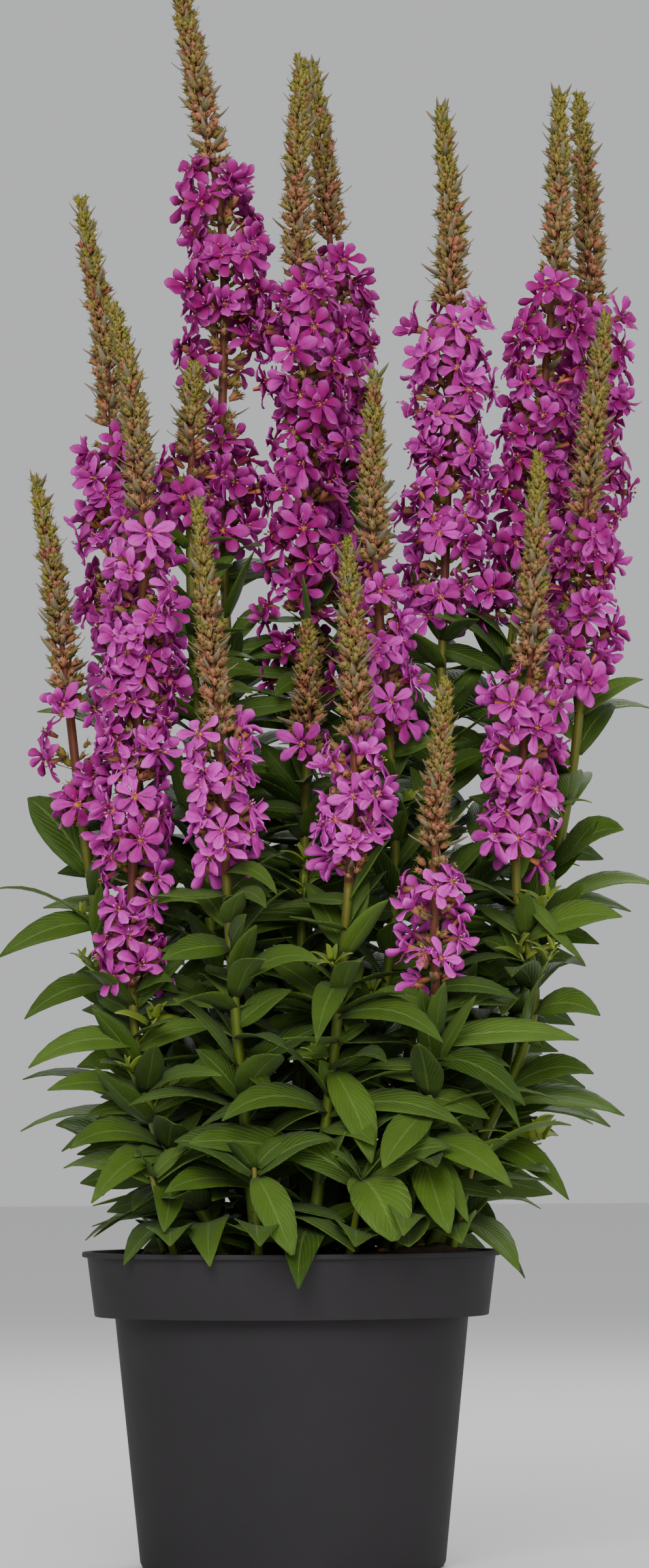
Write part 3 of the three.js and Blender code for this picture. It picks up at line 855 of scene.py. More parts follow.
def makePot(s):
    wall, bandBottom, lipBottom = s["wall"], s["height"] - s["bandHeight"], s["height"] - s["lipHeight"]
    outside = [(0, 0), (s["drainCircle"], 0), (s["footRadius"], 0), (s["bodyBottomRadius"], s["footHeight"]),
               (s["bodyTopRadius"], bandBottom), (s["bandBottomRadius"], bandBottom),
               (s["bandTopRadius"], lipBottom), (s["lipRadius"], lipBottom), (s["lipRadius"], s["height"])]
    inside = [(s["bandTopRadius"] - wall, s["height"]), (s["bandBottomRadius"] - wall, bandBottom + wall),
              (s["bodyTopRadius"] - wall, bandBottom + wall), (s["bodyBottomRadius"] - wall, s["floor"]),
              (0, s["floor"])]
    bm = turned(outside + inside, s["segments"])
    sharp = [edge for edge in bm.edges
             if len(edge.link_faces) == 2 and edge.calc_face_angle() > math.radians(s["roundFrom"])]
    bmesh.ops.bevel(bm, geom=sharp, offset=s["edgeRound"] * mm, affect="EDGES", segments=2, profile=0.5,
                    material=-1)
    shell = addObject("potShell", endShape(bm, "potShell"))
    cutter = makeDrillBits(s)
    drill = shell.modifiers.new("drains", "BOOLEAN")
    drill.object = cutter
    drill.operation = "DIFFERENCE"
    mesh = bpy.data.meshes.new_from_object(shell.evaluated_get(bpy.context.evaluated_depsgraph_get()))
    for part in (shell, cutter):
        bpy.data.objects.remove(part)
    mesh.set_sharp_from_angle(angle=math.radians(s["sharpFrom"]))
    mesh.materials.clear()
    mesh.materials.append(potMaterial(potFinish))
    placePiece(mesh, "potShell", "pot_plastic", "pot")


def makeDrillBits(s):
    bm = bmesh.new()
    radius = s["drainRadius"] * mm
    for i in range(s["drains"]):
        angle = (i + 0.5) / s["drains"] * 2 * math.pi
        x, y = s["drainCircle"] * math.cos(angle) * mm, s["drainCircle"] * math.sin(angle) * mm
        bmesh.ops.create_cone(bm, segments=s["drainSegments"], radius1=radius, radius2=radius,
                              depth=4 * s["floor"] * mm, cap_ends=True, matrix=Matrix.Translation((x, y, 0)))
    cutter = addObject("drillBits", bpy.data.meshes.new("drillBits"))
    bm.to_mesh(cutter.data)
    bm.free()
    return cutter


makePot(potForm)
print("pot turned")


# Soil: lumpy compost nearly up to the rim, with chips of bark and a few white grains
soilForm = {
    "crown": 142.5,
    "edge": 139.5,
    "gap": 0.3,
    "ringStep": 3.5,
    "segments": 110,
    "lumps": 1.6,
    "crumbs": 1.3,
    "crumbSize": 5.0,
    "calmRim": 8,
    "heap": 9.0,
    "heapTurn": -38,
    "heapRadius": 90,
    "sharpFrom": 40,
    "chips": 420,
    "chipLength": (2.0, 7.5),
    "chipWidth": (0.35, 0.75),
    "chipHeight": (0.15, 0.4),
    "chipTilt": (-0.4, 0.4),
    "chipDents": (0.75, 1.2),
    "chipRise": 0.25,
    "clearRim": 4,
    "grains": 26,
    "grainLength": (1.4, 2.6),
    "grainShape": (1, 0.9, 0.8),
}
soilFinishes = {
    "compost": {"dark": (0.010, 0.006, 0.0035, 1), "light": (0.060, 0.034, 0.019, 1), "scale": 160.0,
                "bump": 0.9},
    "barkChip": {"dark": (0.022, 0.010, 0.006, 1), "light": (0.15, 0.078, 0.044, 1), "scale": 260.0,
                 "bump": 0.8},
    "whiteGrain": {"dark": (0.42, 0.40, 0.36, 1), "light": (0.42, 0.40, 0.36, 1), "scale": 300.0,
                   "bump": 0.5},
}
soilShared = {"roughness": 0.95, "specular": 0.2, "relief": 0.0012}


def soilMaterial(name, s):
    material, tree, shader = makeMaterial(name)
    feed(tree, shader.inputs["Base Color"], mottled(tree, s, toneOf(tree))["Color"])
    crumbs = addNoise(tree, 4 * s["scale"], 5.0, 0.7)
    feed(tree, shader.inputs["Normal"], addBump(tree, crumbs, s["bump"], s["relief"]))
    shader.inputs["Roughness"].default_value = s["roughness"]
    shader.inputs["Specular IOR Level"].default_value = s["specular"]
    return material


def soilHeight(x, y):
    s, rim = soilForm, potForm["bandTopRadius"]
    radius = math.hypot(x, y)
    lump = s["lumps"] * math.sin(0.19 * x + 1) * math.cos(0.23 * y)
    crumb = s["crumbs"] * noise.noise(Vector((x, y, 0)) / s["crumbSize"])
    calm = min(1, max(0, (rim - radius) / s["calmRim"]))
    near = max(0, math.cos(math.atan2(y, x) - math.radians(s["heapTurn"])))
    heap = s["heap"] * near ** 8 * (radius / s["heapRadius"]) ** 4
    return mix(s["crown"], s["edge"], radius / rim) + (lump + crumb + heap) * calm


def makeSoil(s, pot):
    bandBottom = pot["height"] - pot["bandHeight"]
    clear = pot["wall"] + s["gap"]
    edgeShare = (s["edge"] - bandBottom) / pot["bandHeight"]
    edgeRadius = mix(pot["bandBottomRadius"], pot["bandTopRadius"], edgeShare) - clear
    bottom = pot["floor"] + s["gap"]
    side = [(0, bottom), (pot["bodyBottomRadius"] - clear, bottom),
            (pot["bodyTopRadius"] - clear, bandBottom + clear),
            (pot["bandBottomRadius"] - clear, bandBottom + clear), (edgeRadius, s["edge"])]
    rings = int(edgeRadius / s["ringStep"])
    top = [(edgeRadius * (1 - i / rings), s["crown"]) for i in range(1, rings + 1)]
    bm = turned(side + top, s["segments"])
    bm.loops.layers.uv.new("UVMap")
    bm.verts.layers.float.new("tone")
    setTone(bm, bm.verts, 0.5)
    for vert in bm.verts:
        if vert.co.z > (s["crown"] - 0.1) * mm:
            vert.co.z = soilHeight(vert.co.x / mm, vert.co.y / mm) * mm
    draw = seeded(77)
    for i in range(s["chips"] + s["grains"]):
        isGrain = i >= s["chips"]
        radius, turn = (edgeRadius - s["clearRim"]) * math.sqrt(draw()), 2 * math.pi * draw()
        length = between(draw, *s["grainLength"]) if isGrain else mix(*s["chipLength"], draw() ** 2)
        shape = (1, between(draw, *s["chipWidth"]), between(draw, *s["chipHeight"]))
        size = Vector([length * one for one in (s["grainShape"] if isGrain else shape)])
        x, y = radius * math.cos(turn), radius * math.sin(turn)
        place = Matrix.Translation(Vector((x, y, soilHeight(x, y) + s["chipRise"] * size.z)) * mm)
        place = place @ Matrix.Rotation(anyTurn(draw), 4, "Z")
        place = place @ Matrix.Rotation(between(draw, *s["chipTilt"]), 4, "X")
        addChip(bm, place, size * mm / 2, draw, s, 2 if isGrain else 1)
    mesh = endShape(bm, "pottingSoil")
    for name, finish in soilFinishes.items():
        mesh.materials.append(soilMaterial(name, dict(soilShared, **finish)))
    mesh.set_sharp_from_angle(angle=math.radians(s["sharpFrom"]))
    placePiece(mesh, "pottingSoil", "soil", "soil")


def addChip(bm, place, size, draw, s, look):
    before = len(bm.faces)
    verts = bmesh.ops.create_icosphere(bm, subdivisions=1, radius=1)["verts"]
    setTone(bm, verts, draw())
    for vert in verts:
        vert.co = vert.co * between(draw, *s["chipDents"])
    bmesh.ops.scale(bm, vec=size, verts=verts)
    bmesh.ops.transform(bm, matrix=place, verts=verts)
    for face in list(bm.faces)[before:]:
        face.material_index = look


makeSoil(soilForm, potForm)
print("soil filled in")


# Leaves: the frame's own leaves at their places, and more pairs between them.
# Length, width and rise go from the foot of a stem to its top; widestAt and fullness from pointed to blunt.
leafForm = {
    "spacing": 48,
    "length": (66, 44),
    "lengthShare": 0.9,
    "lengthRange": 0.2,
    "width": (20, 12),
    "rise": (-8, 24),
    "riseRange": 16,
    "turnRange": 20,
    "firstPair": 12,
    "offset": 0,
    "belowTop": 6,
    "shifts": (0, 7, -7, 14, -14),
    "scales": (1, 0.8),
    "tilts": (0, 14, -14, 28),
    "swings": (0, 18, -18, 36, -36),
    "sameWithin": 0.7,
    "arch": 0.13,
    "shownFace": (0, -0.8, 0.6),
    "lean": 0.5,
    "frontLean": 0.35,
    "squares": (4, 8),
    "thickness": 0.45,
    "fold": 0.2,
    "ripple": (0.02, 0.06),
    "sway": (-0.05, 0.05),
    "start": 1.5,
    "stalk": 1.2,
    "widestAt": (0.78, 1.15),
    "fullness": (0.86, 0.6),
    "tones": 0.9,
}

# The frame's leaves at the plant's outline: stem, height where it joins, tip and width
shownLeaves = (
    (12, 313, (-119, 4, 349), 22), (12, 290, (-131, -30, 276), 15), (12, 262, (-119, -42, 248), 14),
    (9, 236, (-117, -52, 226), 14), (9, 210, (-108, -66, 216), 14), (9, 190, (-98, -68, 190), 15),
    (9, 186, (-88, -86, 166), 17), (9, 188, (-14, -80, 168), 17), (11, 262, (14, -86, 272), 13),
    (11, 300, (-10, -92, 296), 11), (14, 262, (12, -104, 236), 14), (14, 248, (68, -92, 236), 15),
    (14, 206, (-30, -92, 202), 16), (16, 228, (104, -96, 208), 16), (16, 190, (98, -96, 172), 18),
    (7, 385, (162, 12, 402), 9), (7, 366, (150, 24, 392), 12), (7, 316, (151, -28, 332), 19),
    (17, 282, (149, -56, 292), 17), (17, 250, (139, -52, 248), 16), (17, 214, (136, -50, 222), 15),
    (17, 190, (124, -62, 166), 15),
)
# Leaves at the front, by what bears them: its number, height, tip, width, arch and bluntness
frontLeaves = {
    "stem": (
        (9, 214, (-30, -78, 222), 11, 0.1, 0), (11, 211, (-42, -62, 234), 13, 0.06, 0),
        (14, 184, (-45, -84, 192), 18, 0.05, 0.7), (9, 185, (-56, -88, 153), 15, 0.04, 0.4),
        (9, 207, (-92, -40, 204), 9, 0.08, 0), (9, 185, (-70, -58, 186), 10, 0.1, 0),
        (9, 188, (-39, -40, 207), 9, 0.02, 0), (9, 234, (-34, -44, 244), 14, 0.1, 0),
        (9, 259, (-52, -50, 264), 8, 0.15, 0), (11, 228, (-8, -70, 213), 9, 0.05, 0),
        (14, 231, (-1, -50, 229), 8, 0.08, 0), (11, 230, (-51, -40, 217), 14, 0.06, 0),
        (11, 197, (-37, -60, 186), 15, 0.05, 0), (14, 225, (36, -86, 183), 17, 0.06, 0.3),
        (16, 207, (41, -104, 181), 17, 0.03, 0.3), (16, 229, (102, -84, 198), 12, 0.22, 0),
        (16, 188, (70, -98, 152), 18, 0.05, 0.5), (16, 189, (79, -84, 156), 12, 0.08, 0),
        (16, 224, (58, -84, 261), 10, 0.02, 0), (16, 225, (83, -78, 257), 8, 0.02, 0),
        (16, 236, (129, -66, 237), 15, 0.06, 0), (16, 260, (102, -72, 255), 9, 0.1, 0),
        (16, 212, (89, -58, 202), 12, 0.05, 0), (14, 174, (25, -82, 197), 12, 0.03, 0),
        (14, 217, (13, -66, 229), 9, 0.05, 0), (14, 223, (40, -40, 234), 12, 0.05, 0),
        (14, 235, (36, -55, 245), 7, 0.08, 0), (16, 220, (40, -50, 222), 10, 0.06, 0),
        (11, 313, (-5, -84, 302), 9, 0.15, 0), (9, 294, (-27, -46, 293), 8, 0.22, 0),
        (14, 285, (36, -60, 308), 10, 0.02, 0), (14, 279, (7, -40, 309), 13, 0.02, 0),
        (12, 280, (-85, -26, 309), 11, 0.02, 0), (17, 305, (132, -52, 272), 7, 0.02, 0),
        (9, 258, (-48, -20, 275), 11, 0.05, 0), (11, 288, (-42, -40, 307), 10, 0.05, 0),
        (11, 244, (1, -60, 260), 12, 0.06, 0), (14, 251, (-11, -30, 275), 13, 0.05, 0),
        (16, 251, (38, -50, 259), 10, 0.08, 0), (16, 244, (98, -60, 260), 10, 0.1, 0),
        (17, 269, (86, -20, 283), 11, 0.08, 0),
    ),
    "shoot": (
        (2, 177, (1, -108, 143), 17, 0.1, 0.8), (3, 179, (46, -108, 149), 26, 0.1, 1),
        (3, 178, (28, -90, 167), 10, 0.05, 0),
    ),
}


def solidTree(node):
    bm = bmesh.new()
    bm.from_mesh(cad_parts[node].data)
    tree = BVHTree.FromBMesh(bm)
    bm.free()
    return tree


def cornersOf(node):
    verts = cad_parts[node].data.vertices
    tree = kdtree.KDTree(len(verts))
    for i, vert in enumerate(verts):
        tree.insert(vert.co, i)
    tree.balance()
    return tree


def asInFrame(choices, corners):
    # the choice whose tip is a corner of the frame's node, or nothing where the frame has no such leaf
    for choice in choices:
        if corners.find(choice["tip"])[2] < leafForm["sameWithin"] * mm:
            return choice
    return None


def faceNear(draw):
    leanX = leafForm["lean"] * (2 * draw() - 1)
    leanY = leafForm["lean"] * (2 * draw() - 1)
    return Vector((leanX, leanY - leafForm["frontLean"], 1)).normalized()


def leafChoices(root, turn, rise, length, width, face):
    choices = []
    for scale in leafForm["scales"]:
        for tilt in leafForm["tilts"]:
            for swing in leafForm["swings"]:
                tip = root + direction(turn + swing, rise + tilt) * length * scale * mm
                choices.append({"root": root, "tip": tip, "width": width * scale, "face": face})
    return choices


def shownLeavesOf(number, line, corners):
    leaves = []
    for stem, at, tip, width in shownLeaves:
        if stem == number:
            leaf = {"root": atHeight(line, at)[0], "width": width, "face": Vector(leafForm["shownFace"])}
            tips = [(Vector(tip) + Vector((0, shift, shift / 2))) * mm for shift in leafForm["shifts"]]
            choices = [dict(leaf, tip=one) for one in tips]
            leaves.append(asInFrame(choices, corners) or choices[0])
    return leaves


def frontLeavesOf(kind, number, line):
    leaves = []
    for owner, at, tip, width, arch, blunt in frontLeaves[kind]:
        if owner == number:
            leaves.append({"root": atHeight(line, at)[0], "tip": Vector(tip) * mm, "width": width,
                           "face": Vector(leafForm["shownFace"]), "arch": arch, "blunt": blunt})
    return leaves


def crossedPairs(line, top, s, draw):
    # the root, share of the way up and turn of each leaf; every pair stands across the one below it
    low = soilForm["crown"] + s["firstPair"]
    pairs = max(2, round((top - low) / s["spacing"]))
    turn = 180 * draw()
    for pair in range(pairs):
        share = (pair + s["offset"]) / pairs
        root = atHeight(line, mix(low, top - s["belowTop"], share))[0]
        turn += 90 + s["turnRange"] * (draw() - 0.5)
        for half in (0, 180):
            yield root, share, turn + half


def pairedLeavesOf(line, top, corners, draw):
    s = leafForm
    leaves = []
    for root, share, turn in crossedPairs(line, top, s, draw):
        length = mix(*s["length"], share) * (s["lengthShare"] + s["lengthRange"] * draw())
        rise = mix(*s["rise"], share) + s["riseRange"] * (draw() - 0.5)
        choices = leafChoices(root, turn, rise, length, mix(*s["width"], share), faceNear(draw))
        leaves.append(asInFrame(choices, corners))
    return [leaf for leaf in leaves if leaf]


def leafBlade(leaf, draw):
    s = leafForm
    root, span = leaf["root"], leaf["tip"] - leaf["root"]
    length = span.length
    start = min(0.1, s["start"] * mm / length)
    phase = anyTurn(draw)
    ripple = between(draw, *s["ripple"]) * leaf["width"] * mm
    swing = between(draw, *s["sway"]) * length
    sideHint = leaf["face"].cross(span)
    arch, blunt = leaf.get("arch", s["arch"]), leaf.get("blunt", 0)

    def midrib(t):
        return root + span * t + up * 4 * arch * length * t * (1 - t)

    def place(side, share):
        # a blunt leaf is widest further out than a pointed one and keeps its width for longer
        t = mix(start, 1, share)
        along = (midrib(t + 0.01) - midrib(t - 0.01)).normalized()
        across = (sideHint - along * sideHint.dot(along)).normalized()
        raised = along.cross(across)
        swell = math.sin(math.pi * (0.99 * t) ** mix(*s["widestAt"], blunt)) ** mix(*s["fullness"], blunt)
        half = leaf["width"] / 2 * mm * swell + s["stalk"] * mm * (1 - t) ** 6
        wave = ripple * abs(side) * math.sin(7 * t + phase + side) * swell
        lift = s["fold"] * half * abs(side) ** 1.4 + wave
        sway = swing * math.sin(math.pi * t) * t
        return midrib(t) + across * (side * half + sway) + raised * lift

    one = startShape()
    blade(one, leaf.get("squares", s["squares"]), s["thickness"] * mm, place, leaf.get("look", leafLook))
    return one


def growLeaf(bm, leaf, draw):
    mesh = endShape(leafBlade(leaf, draw), "leafPart")
    anyTone = leafForm["tones"] * draw()
    shiftTone(mesh, leaf.get("tone", anyTone))
    bm.from_mesh(mesh)
    bpy.data.meshes.remove(mesh)


solids = {name: solidTree(name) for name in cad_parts}
grownTrees = []


def clearChoice(choices, own, draw):
    # the first choice that crosses no other node of the frame and no leaf added before it by this rule
    others = [solid for name, solid in solids.items() if name != own] + grownTrees
    for choice in choices:
        one = leafBlade(choice, draw)
        tree = BVHTree.FromBMesh(one)
        one.free()
        if not any(tree.overlap(other) for other in others):
            grownTrees.append(tree)
            return choice
    return None


def withinSides(choices, s):
    return [choice for choice in choices if s["leftmost"] * mm < choice["tip"].x < s["rightmost"] * mm]


extraForm = {
    "firstPair": 12,
    "offset": 0.5,
    "spacing": 13,
    "belowTop": 3,
    "length": (58, 36),
    "lengths": (0.75, 1.1),
    "width": (21, 10),
    "widths": (0.8, 1.1),
    "arches": (-0.02, 0.14),
    "riseRange": 60,
    "riseMiddle": 0.4,
    "turnRange": 30,
    "leftmost": -92,
    "rightmost": 118,
}


def extraLeavesOf(line, top, own, draw):
    s = extraForm
    leaves = []
    for root, share, turn in crossedPairs(line, top, s, draw):
        length = mix(*s["length"], share) * between(draw, *s["lengths"])
        width = mix(*s["width"], share) * between(draw, *s["widths"])
        rise = mix(*leafForm["rise"], share) + s["riseRange"] * (draw() - s["riseMiddle"])
        choices = leafChoices(root, turn, rise, length, width, faceNear(draw))[::2]
        arch = between(draw, *s["arches"])
        choices = [dict(choice, arch=arch) for choice in withinSides(choices, s)]
        leaves.append(clearChoice(choices, own, draw))
    return [leaf for leaf in leaves if leaf]


# Small leaves close over the soil, and leaves among the inner stems that look to the front
fillForm = {
    "lowLeaves": 5,
    "lowAt": (145, 162),
    "lowLength": (26, 42),
    "lowRise": (5, 48),
    "innerStems": (1, 2, 3, 4, 5, 7, 8, 10, 13, 15),
    "innerStep": 17,
    "innerFoot": 20,
    "belowTop": 4,
    "innerLength": (36, 54),
    "innerRise": (-25, 50),
    "innerTurn": (-50, 50),
    "widthShare": (0.28, 0.38),
    "face": (0, -0.9, 0.45),
    "faceAcross": (-0.4, 0.4),
    "faceUp": (-0.2, 0.3),
    "tone": (-0.1, 0.5),
    "arch": 0.05,
    "squares": (2, 6),
    "leftmost": -112,
    "rightmost": 148,
}

# Where the photo shows leaves in front of the gaps between those above, as seen from the camera
coverSpots = [
    (-91, 228), (138, 324), (112, 172), (126, 246), (135, 284), (-7, 320), (-90, 174), (124, 275),
    (-89, 254), (-93, 271), (115, 235), (-5, 341), (-49, 316), (127, 220), (35, 287), (-50, 300),
    (-1, 310), (-41, 241), (-55, 325), (-59, 226), (-100, 317), (-40, 263), (108, 308), (117, 196),
    (-19, 234), (-48, 147), (-48, 286), (57, 336), (41, 276), (101, 285), (41, 312), (-41, 172),
    (-53, 293), (-90, 189), (-32, 287), (110, 230), (-1, 199), (-4, 282), (-2, 245), (-27, 237), (52, 272),
    (-83, 256), (117, 326), (95, 174), (97, 271), (-46, 322), (50, 244), (-62, 147), (11, 272), (118, 341),
    (83, 403), (-2, 332), (-8, 370), (77, 414), (61, 416), (77, 367), (18, 382), (56, 361), (-52, 278),
    (54, 351), (-19, 406), (-74, 223), (77, 348), (-67, 247), (-2, 175), (88, 270), (-23, 286), (22, 305),
    (-3, 239), (55, 343), (-36, 236), (38, 295), (86, 411), (-78, 151), (64, 406), (-79, 162), (1, 337),
    (76, 333), (81, 147), (-8, 290), (-78, 225), (58, 369), (76, 401), (62, 376), (83, 365), (54, 318),
    (-3, 325), (-55, 292), (-79, 312), (-88, 259), (12, 358), (55, 353), (0, 364), (-40, 259), (22, 375),
    (-63, 145), (-81, 214), (82, 372), (-24, 300), (0, 399), (-41, 250), (75, 393), (57, 323), (33, 266),
    (81, 322), (-52, 345), (-83, 204), (75, 354), (-11, 146), (-43, 253), (61, 325), (13, 198), (86, 374),
    (-68, 306), (-6, 366), (24, 147), (15, 406), (-2, 253), (-46, 234), (36, 270), (95, 270), (88, 275),
    (74, 221), (-3, 229), (7, 287), (-48, 274), (25, 193), (-11, 266), (101, 232),
]
coverForm = {
    "reach": 50,
    "drops": (-6, 6, 18, 30),
    "depths": (16, 28, 6, 0, -14),
    "aboveCrown": 6,
    "belowTop": 2,
    "past": 1.5,
    "outer": 78,
    "outerPast": 1.15,
    "length": (30, 62),
    "widthShare": (0.36, 0.28),
    "face": (0, -0.9, 0.4),
    "tone": (0.0, 0.5),
    "arch": 0.04,
    "middle": (16.2, 354.7),
    "distance": 3400,
}


def coverChoices(spot, line, at, s, draw):
    # leaves that join the stem at a height and end at the spot or past it, at several depths
    root = atHeight(line, at)[0]
    choices = []
    for depth in s["depths"]:
        y = root.y / mm + depth
        far = 1 + y / s["distance"]
        x, z = (mix(middle, seen, far) for middle, seen in zip(s["middle"], spot))
        span = Vector((x, y, z)) * mm - root
        if span.length < s["reach"] * mm:
            past = s["outerPast"] if abs(spot[0] - s["middle"][0]) > s["outer"] else s["past"]
            length = min(s["length"][1], max(s["length"][0], span.length / mm * past))
            tip = root + span.normalized() * length * mm
            for share in s["widthShare"]:
                choices.append({"root": root, "tip": tip, "width": share * length, "face": Vector(s["face"]),
                                "arch": s["arch"], "squares": fillForm["squares"],
                                "tone": between(draw, *s["tone"])})
    return choices


def coverLeavesOf(line, top, own, draw):
    # every spot is left to the first stem near it that can reach it with a clear leaf
    s = coverForm
    leaves = []
    for spot in list(coverSpots):
        choices = []
        for at in [spot[1] - drop for drop in s["drops"]]:
            if soilForm["crown"] + s["aboveCrown"] < at < top - s["belowTop"]:
                choices += coverChoices(spot, line, at, s, draw)
        leaf = clearChoice(choices, own, draw)
        if leaf:
            leaves.append(leaf)
            coverSpots.remove(spot)
    return leaves


def fillPlans(number, top, s, draw):
    # where each leaf joins its stem, the limits of its length and rise, and its turn
    plans = []
    for _ in range(s["lowLeaves"]):
        plans.append((between(draw, *s["lowAt"]), s["lowLength"], s["lowRise"], 360 * draw()))
    if number in s["innerStems"]:
        low = soilForm["crown"] + s["innerFoot"]
        count = int((top - soilForm["crown"] - s["innerFoot"]) / s["innerStep"])
        for i in range(count):
            at = mix(low, top - s["belowTop"], (i + draw()) / count)
            turn = 180 * (i % 2) + between(draw, *s["innerTurn"])
            plans.append((at, s["innerLength"], s["innerRise"], turn))
    return plans


def fillLeavesOf(number, line, top, own, draw):
    s = fillForm
    leaves = []
    for at, lengths, rises, turn in fillPlans(number, top, s, draw):
        length = between(draw, *lengths)
        width = length * between(draw, *s["widthShare"])
        sway = Vector((between(draw, *s["faceAcross"]), 0, between(draw, *s["faceUp"])))
        face = (Vector(s["face"]) + sway).normalized()
        rise = between(draw, *rises)
        choices = leafChoices(atHeight(line, at)[0], turn, rise, length, width, face)[::3]
        tone = between(draw, *s["tone"])
        choices = [dict(one, arch=s["arch"], tone=tone, squares=s["squares"])
                   for one in withinSides(choices, s)]
        leaves.append(clearChoice(choices, own, draw))
    return [leaf for leaf in leaves if leaf]


# Young side shoots: a thin stalk from a stem with small bright leaves at its end
youngForm = {
    "perStem": 2,
    "aboveCrown": 25,
    "belowTop": 15,
    "rise": (35, 60),
    "stalk": (8, 18),
    "leaf": (11, 17),
    "stalkRadii": (1, 0.6),
    "stalkRadius": 0.8,
    "stalkSides": 5,
    "stalkStep": 5,
    "stalkTone": 0.3,
    "arch": 0.1,
    "pairs": 3,
    "pairsOver": 0.35,
    "leafLength": (1, 0.55),
    "leafLengths": (0.85, 1.15),
    "leafRise": (15, 62),
    "leafRises": (-12, 12),
    "leafWidth": 0.3,
}
youngShoots = (
    {"stem": 17, "at": 187, "turn": -15, "rise": 2, "stalk": 30, "leaf": 25},
    {"stem": 17, "at": 286, "turn": -20, "rise": 48, "stalk": 17, "leaf": 16},
    {"stem": 17, "at": 262, "turn": -60, "rise": 40, "stalk": 20, "leaf": 18},
    {"stem": 14, "at": 262, "turn": -120, "rise": 50, "stalk": 12, "leaf": 16},
    {"stem": 9, "at": 236, "turn": -30, "rise": 45, "stalk": 16, "leaf": 16},
)


def growYoungShoot(bm, line, shoot, s, draw):
    root = atHeight(line, shoot["at"])[0]
    aim = direction(shoot["turn"], shoot["rise"])
    count = max(2, round(shoot["stalk"] / s["stalkStep"]))
    stations = []
    for i in range(count + 1):
        share = i / count
        arch = up * s["arch"] * shoot["stalk"] * share ** 2 * mm
        place = root + aim * shoot["stalk"] * share * mm + arch
        stations.append((place, aim, s["stalkRadius"] * mix(*s["stalkRadii"], share) * mm))
    sweep(bm, stations, s["stalkSides"], youngLook, s["stalkTone"])
    turn = 360 * draw()
    last = s["pairs"] - 1
    for pair in range(s["pairs"]):
        share = pair / last
        seat = stations[-1][0].lerp(stations[0][0], s["pairsOver"] * (last - pair) / last)
        for half in (0, 180):
            length = shoot["leaf"] * mix(*s["leafLength"], share) * between(draw, *s["leafLengths"])
            rise = mix(*s["leafRise"], share) + between(draw, *s["leafRises"])
            tip = seat + direction(turn + 90 * pair + half, rise) * length * mm
            leaf = {"root": seat, "tip": tip, "width": s["leafWidth"] * length, "face": faceNear(draw),
                    "look": youngLook, "tone": draw()}
            growLeaf(bm, leaf, draw)


def youngShootsOf(bm, number, line, top, draw):
    s = youngForm
    wanted = [shoot for shoot in youngShoots if shoot["stem"] == number]
    for _ in range(s["perStem"]):
        at = mix(soilForm["crown"] + s["aboveCrown"], top - s["belowTop"], draw())
        wanted.append({"at": at, "turn": 360 * draw(), "rise": between(draw, *s["rise"]),
                       "stalk": between(draw, *s["stalk"]), "leaf": between(draw, *s["leaf"])})
    for shoot in wanted:
        growYoungShoot(bm, line, shoot, s, draw)


def makeLeafyStem(number, stem):
    s = stemForm
    node = "stem_%02d_leafy" % number
    line = axisOf(stem["axis"], s["rootDepth"])
    top = stem["blooms"][0][0]
    draw = seeded(1200 + number)
    stations = barStations(line, line[0].z / mm, top, (s["footRadius"], s["topRadius"]), s["step"])
    bm = startBar(stations, s["sides"], greenLook, s["tone"] + s["toneRange"] * draw())
    corners = cornersOf(node)
    leaves = shownLeavesOf(number, line, corners)
    leaves += pairedLeavesOf(line, top, corners, seeded(299 + number))
    leaves += frontLeavesOf("stem", number, line)
    leaves += extraLeavesOf(line, top, node, draw)
    leaves += coverLeavesOf(line, top, node, seeded(1500 + number))
    leaves += fillLeavesOf(number, line, top, node, seeded(1400 + number))
    for leaf in leaves:
        growLeaf(bm, leaf, draw)
    youngShootsOf(bm, number, line, top, draw)
    addPlantPiece(bm, "leafyStem%02d" % number, "leaf", node)
    return len(leaves)


leafCount = sum(makeLeafyStem(number, stem) for number, stem in enumerate(stems, 1))
print("leafy stems done,", leafCount, "leaves,", len(coverSpots), "spots left open")


# Low shoots round the crown, with broad leaves
shootForm = {
    "axes": (((-52, -50, 142), (-62, -62, 178)), ((-14, -72, 142), (-16, -80, 182)),
             ((26, -72, 142), (32, -80, 176)), ((72, -44, 142), (82, -52, 184)),
             ((-58, 30, 142), (-74, 38, 190)), ((30, 66, 142), (36, 78, 196))),
    "rootDepth": 28,
    "radius": 2.1,
    "sides": 8,
    "step": 5,
    "tone": 0.6,
    "leafPairs": 2,
    "leafAt": (0.62, 0.94),
    "leafLength": 44,
    "lengthShare": 0.85,
    "lengthRange": 0.3,
    "leafWidth": 21,
    "rise": (-4, 24),
    "tuft": 4,
    "tuftAt": 0.97,
    "tuftRise": (35, 60),
    "tuftLength": (20, 30),
    "tuftWidth": (8, 11),
}


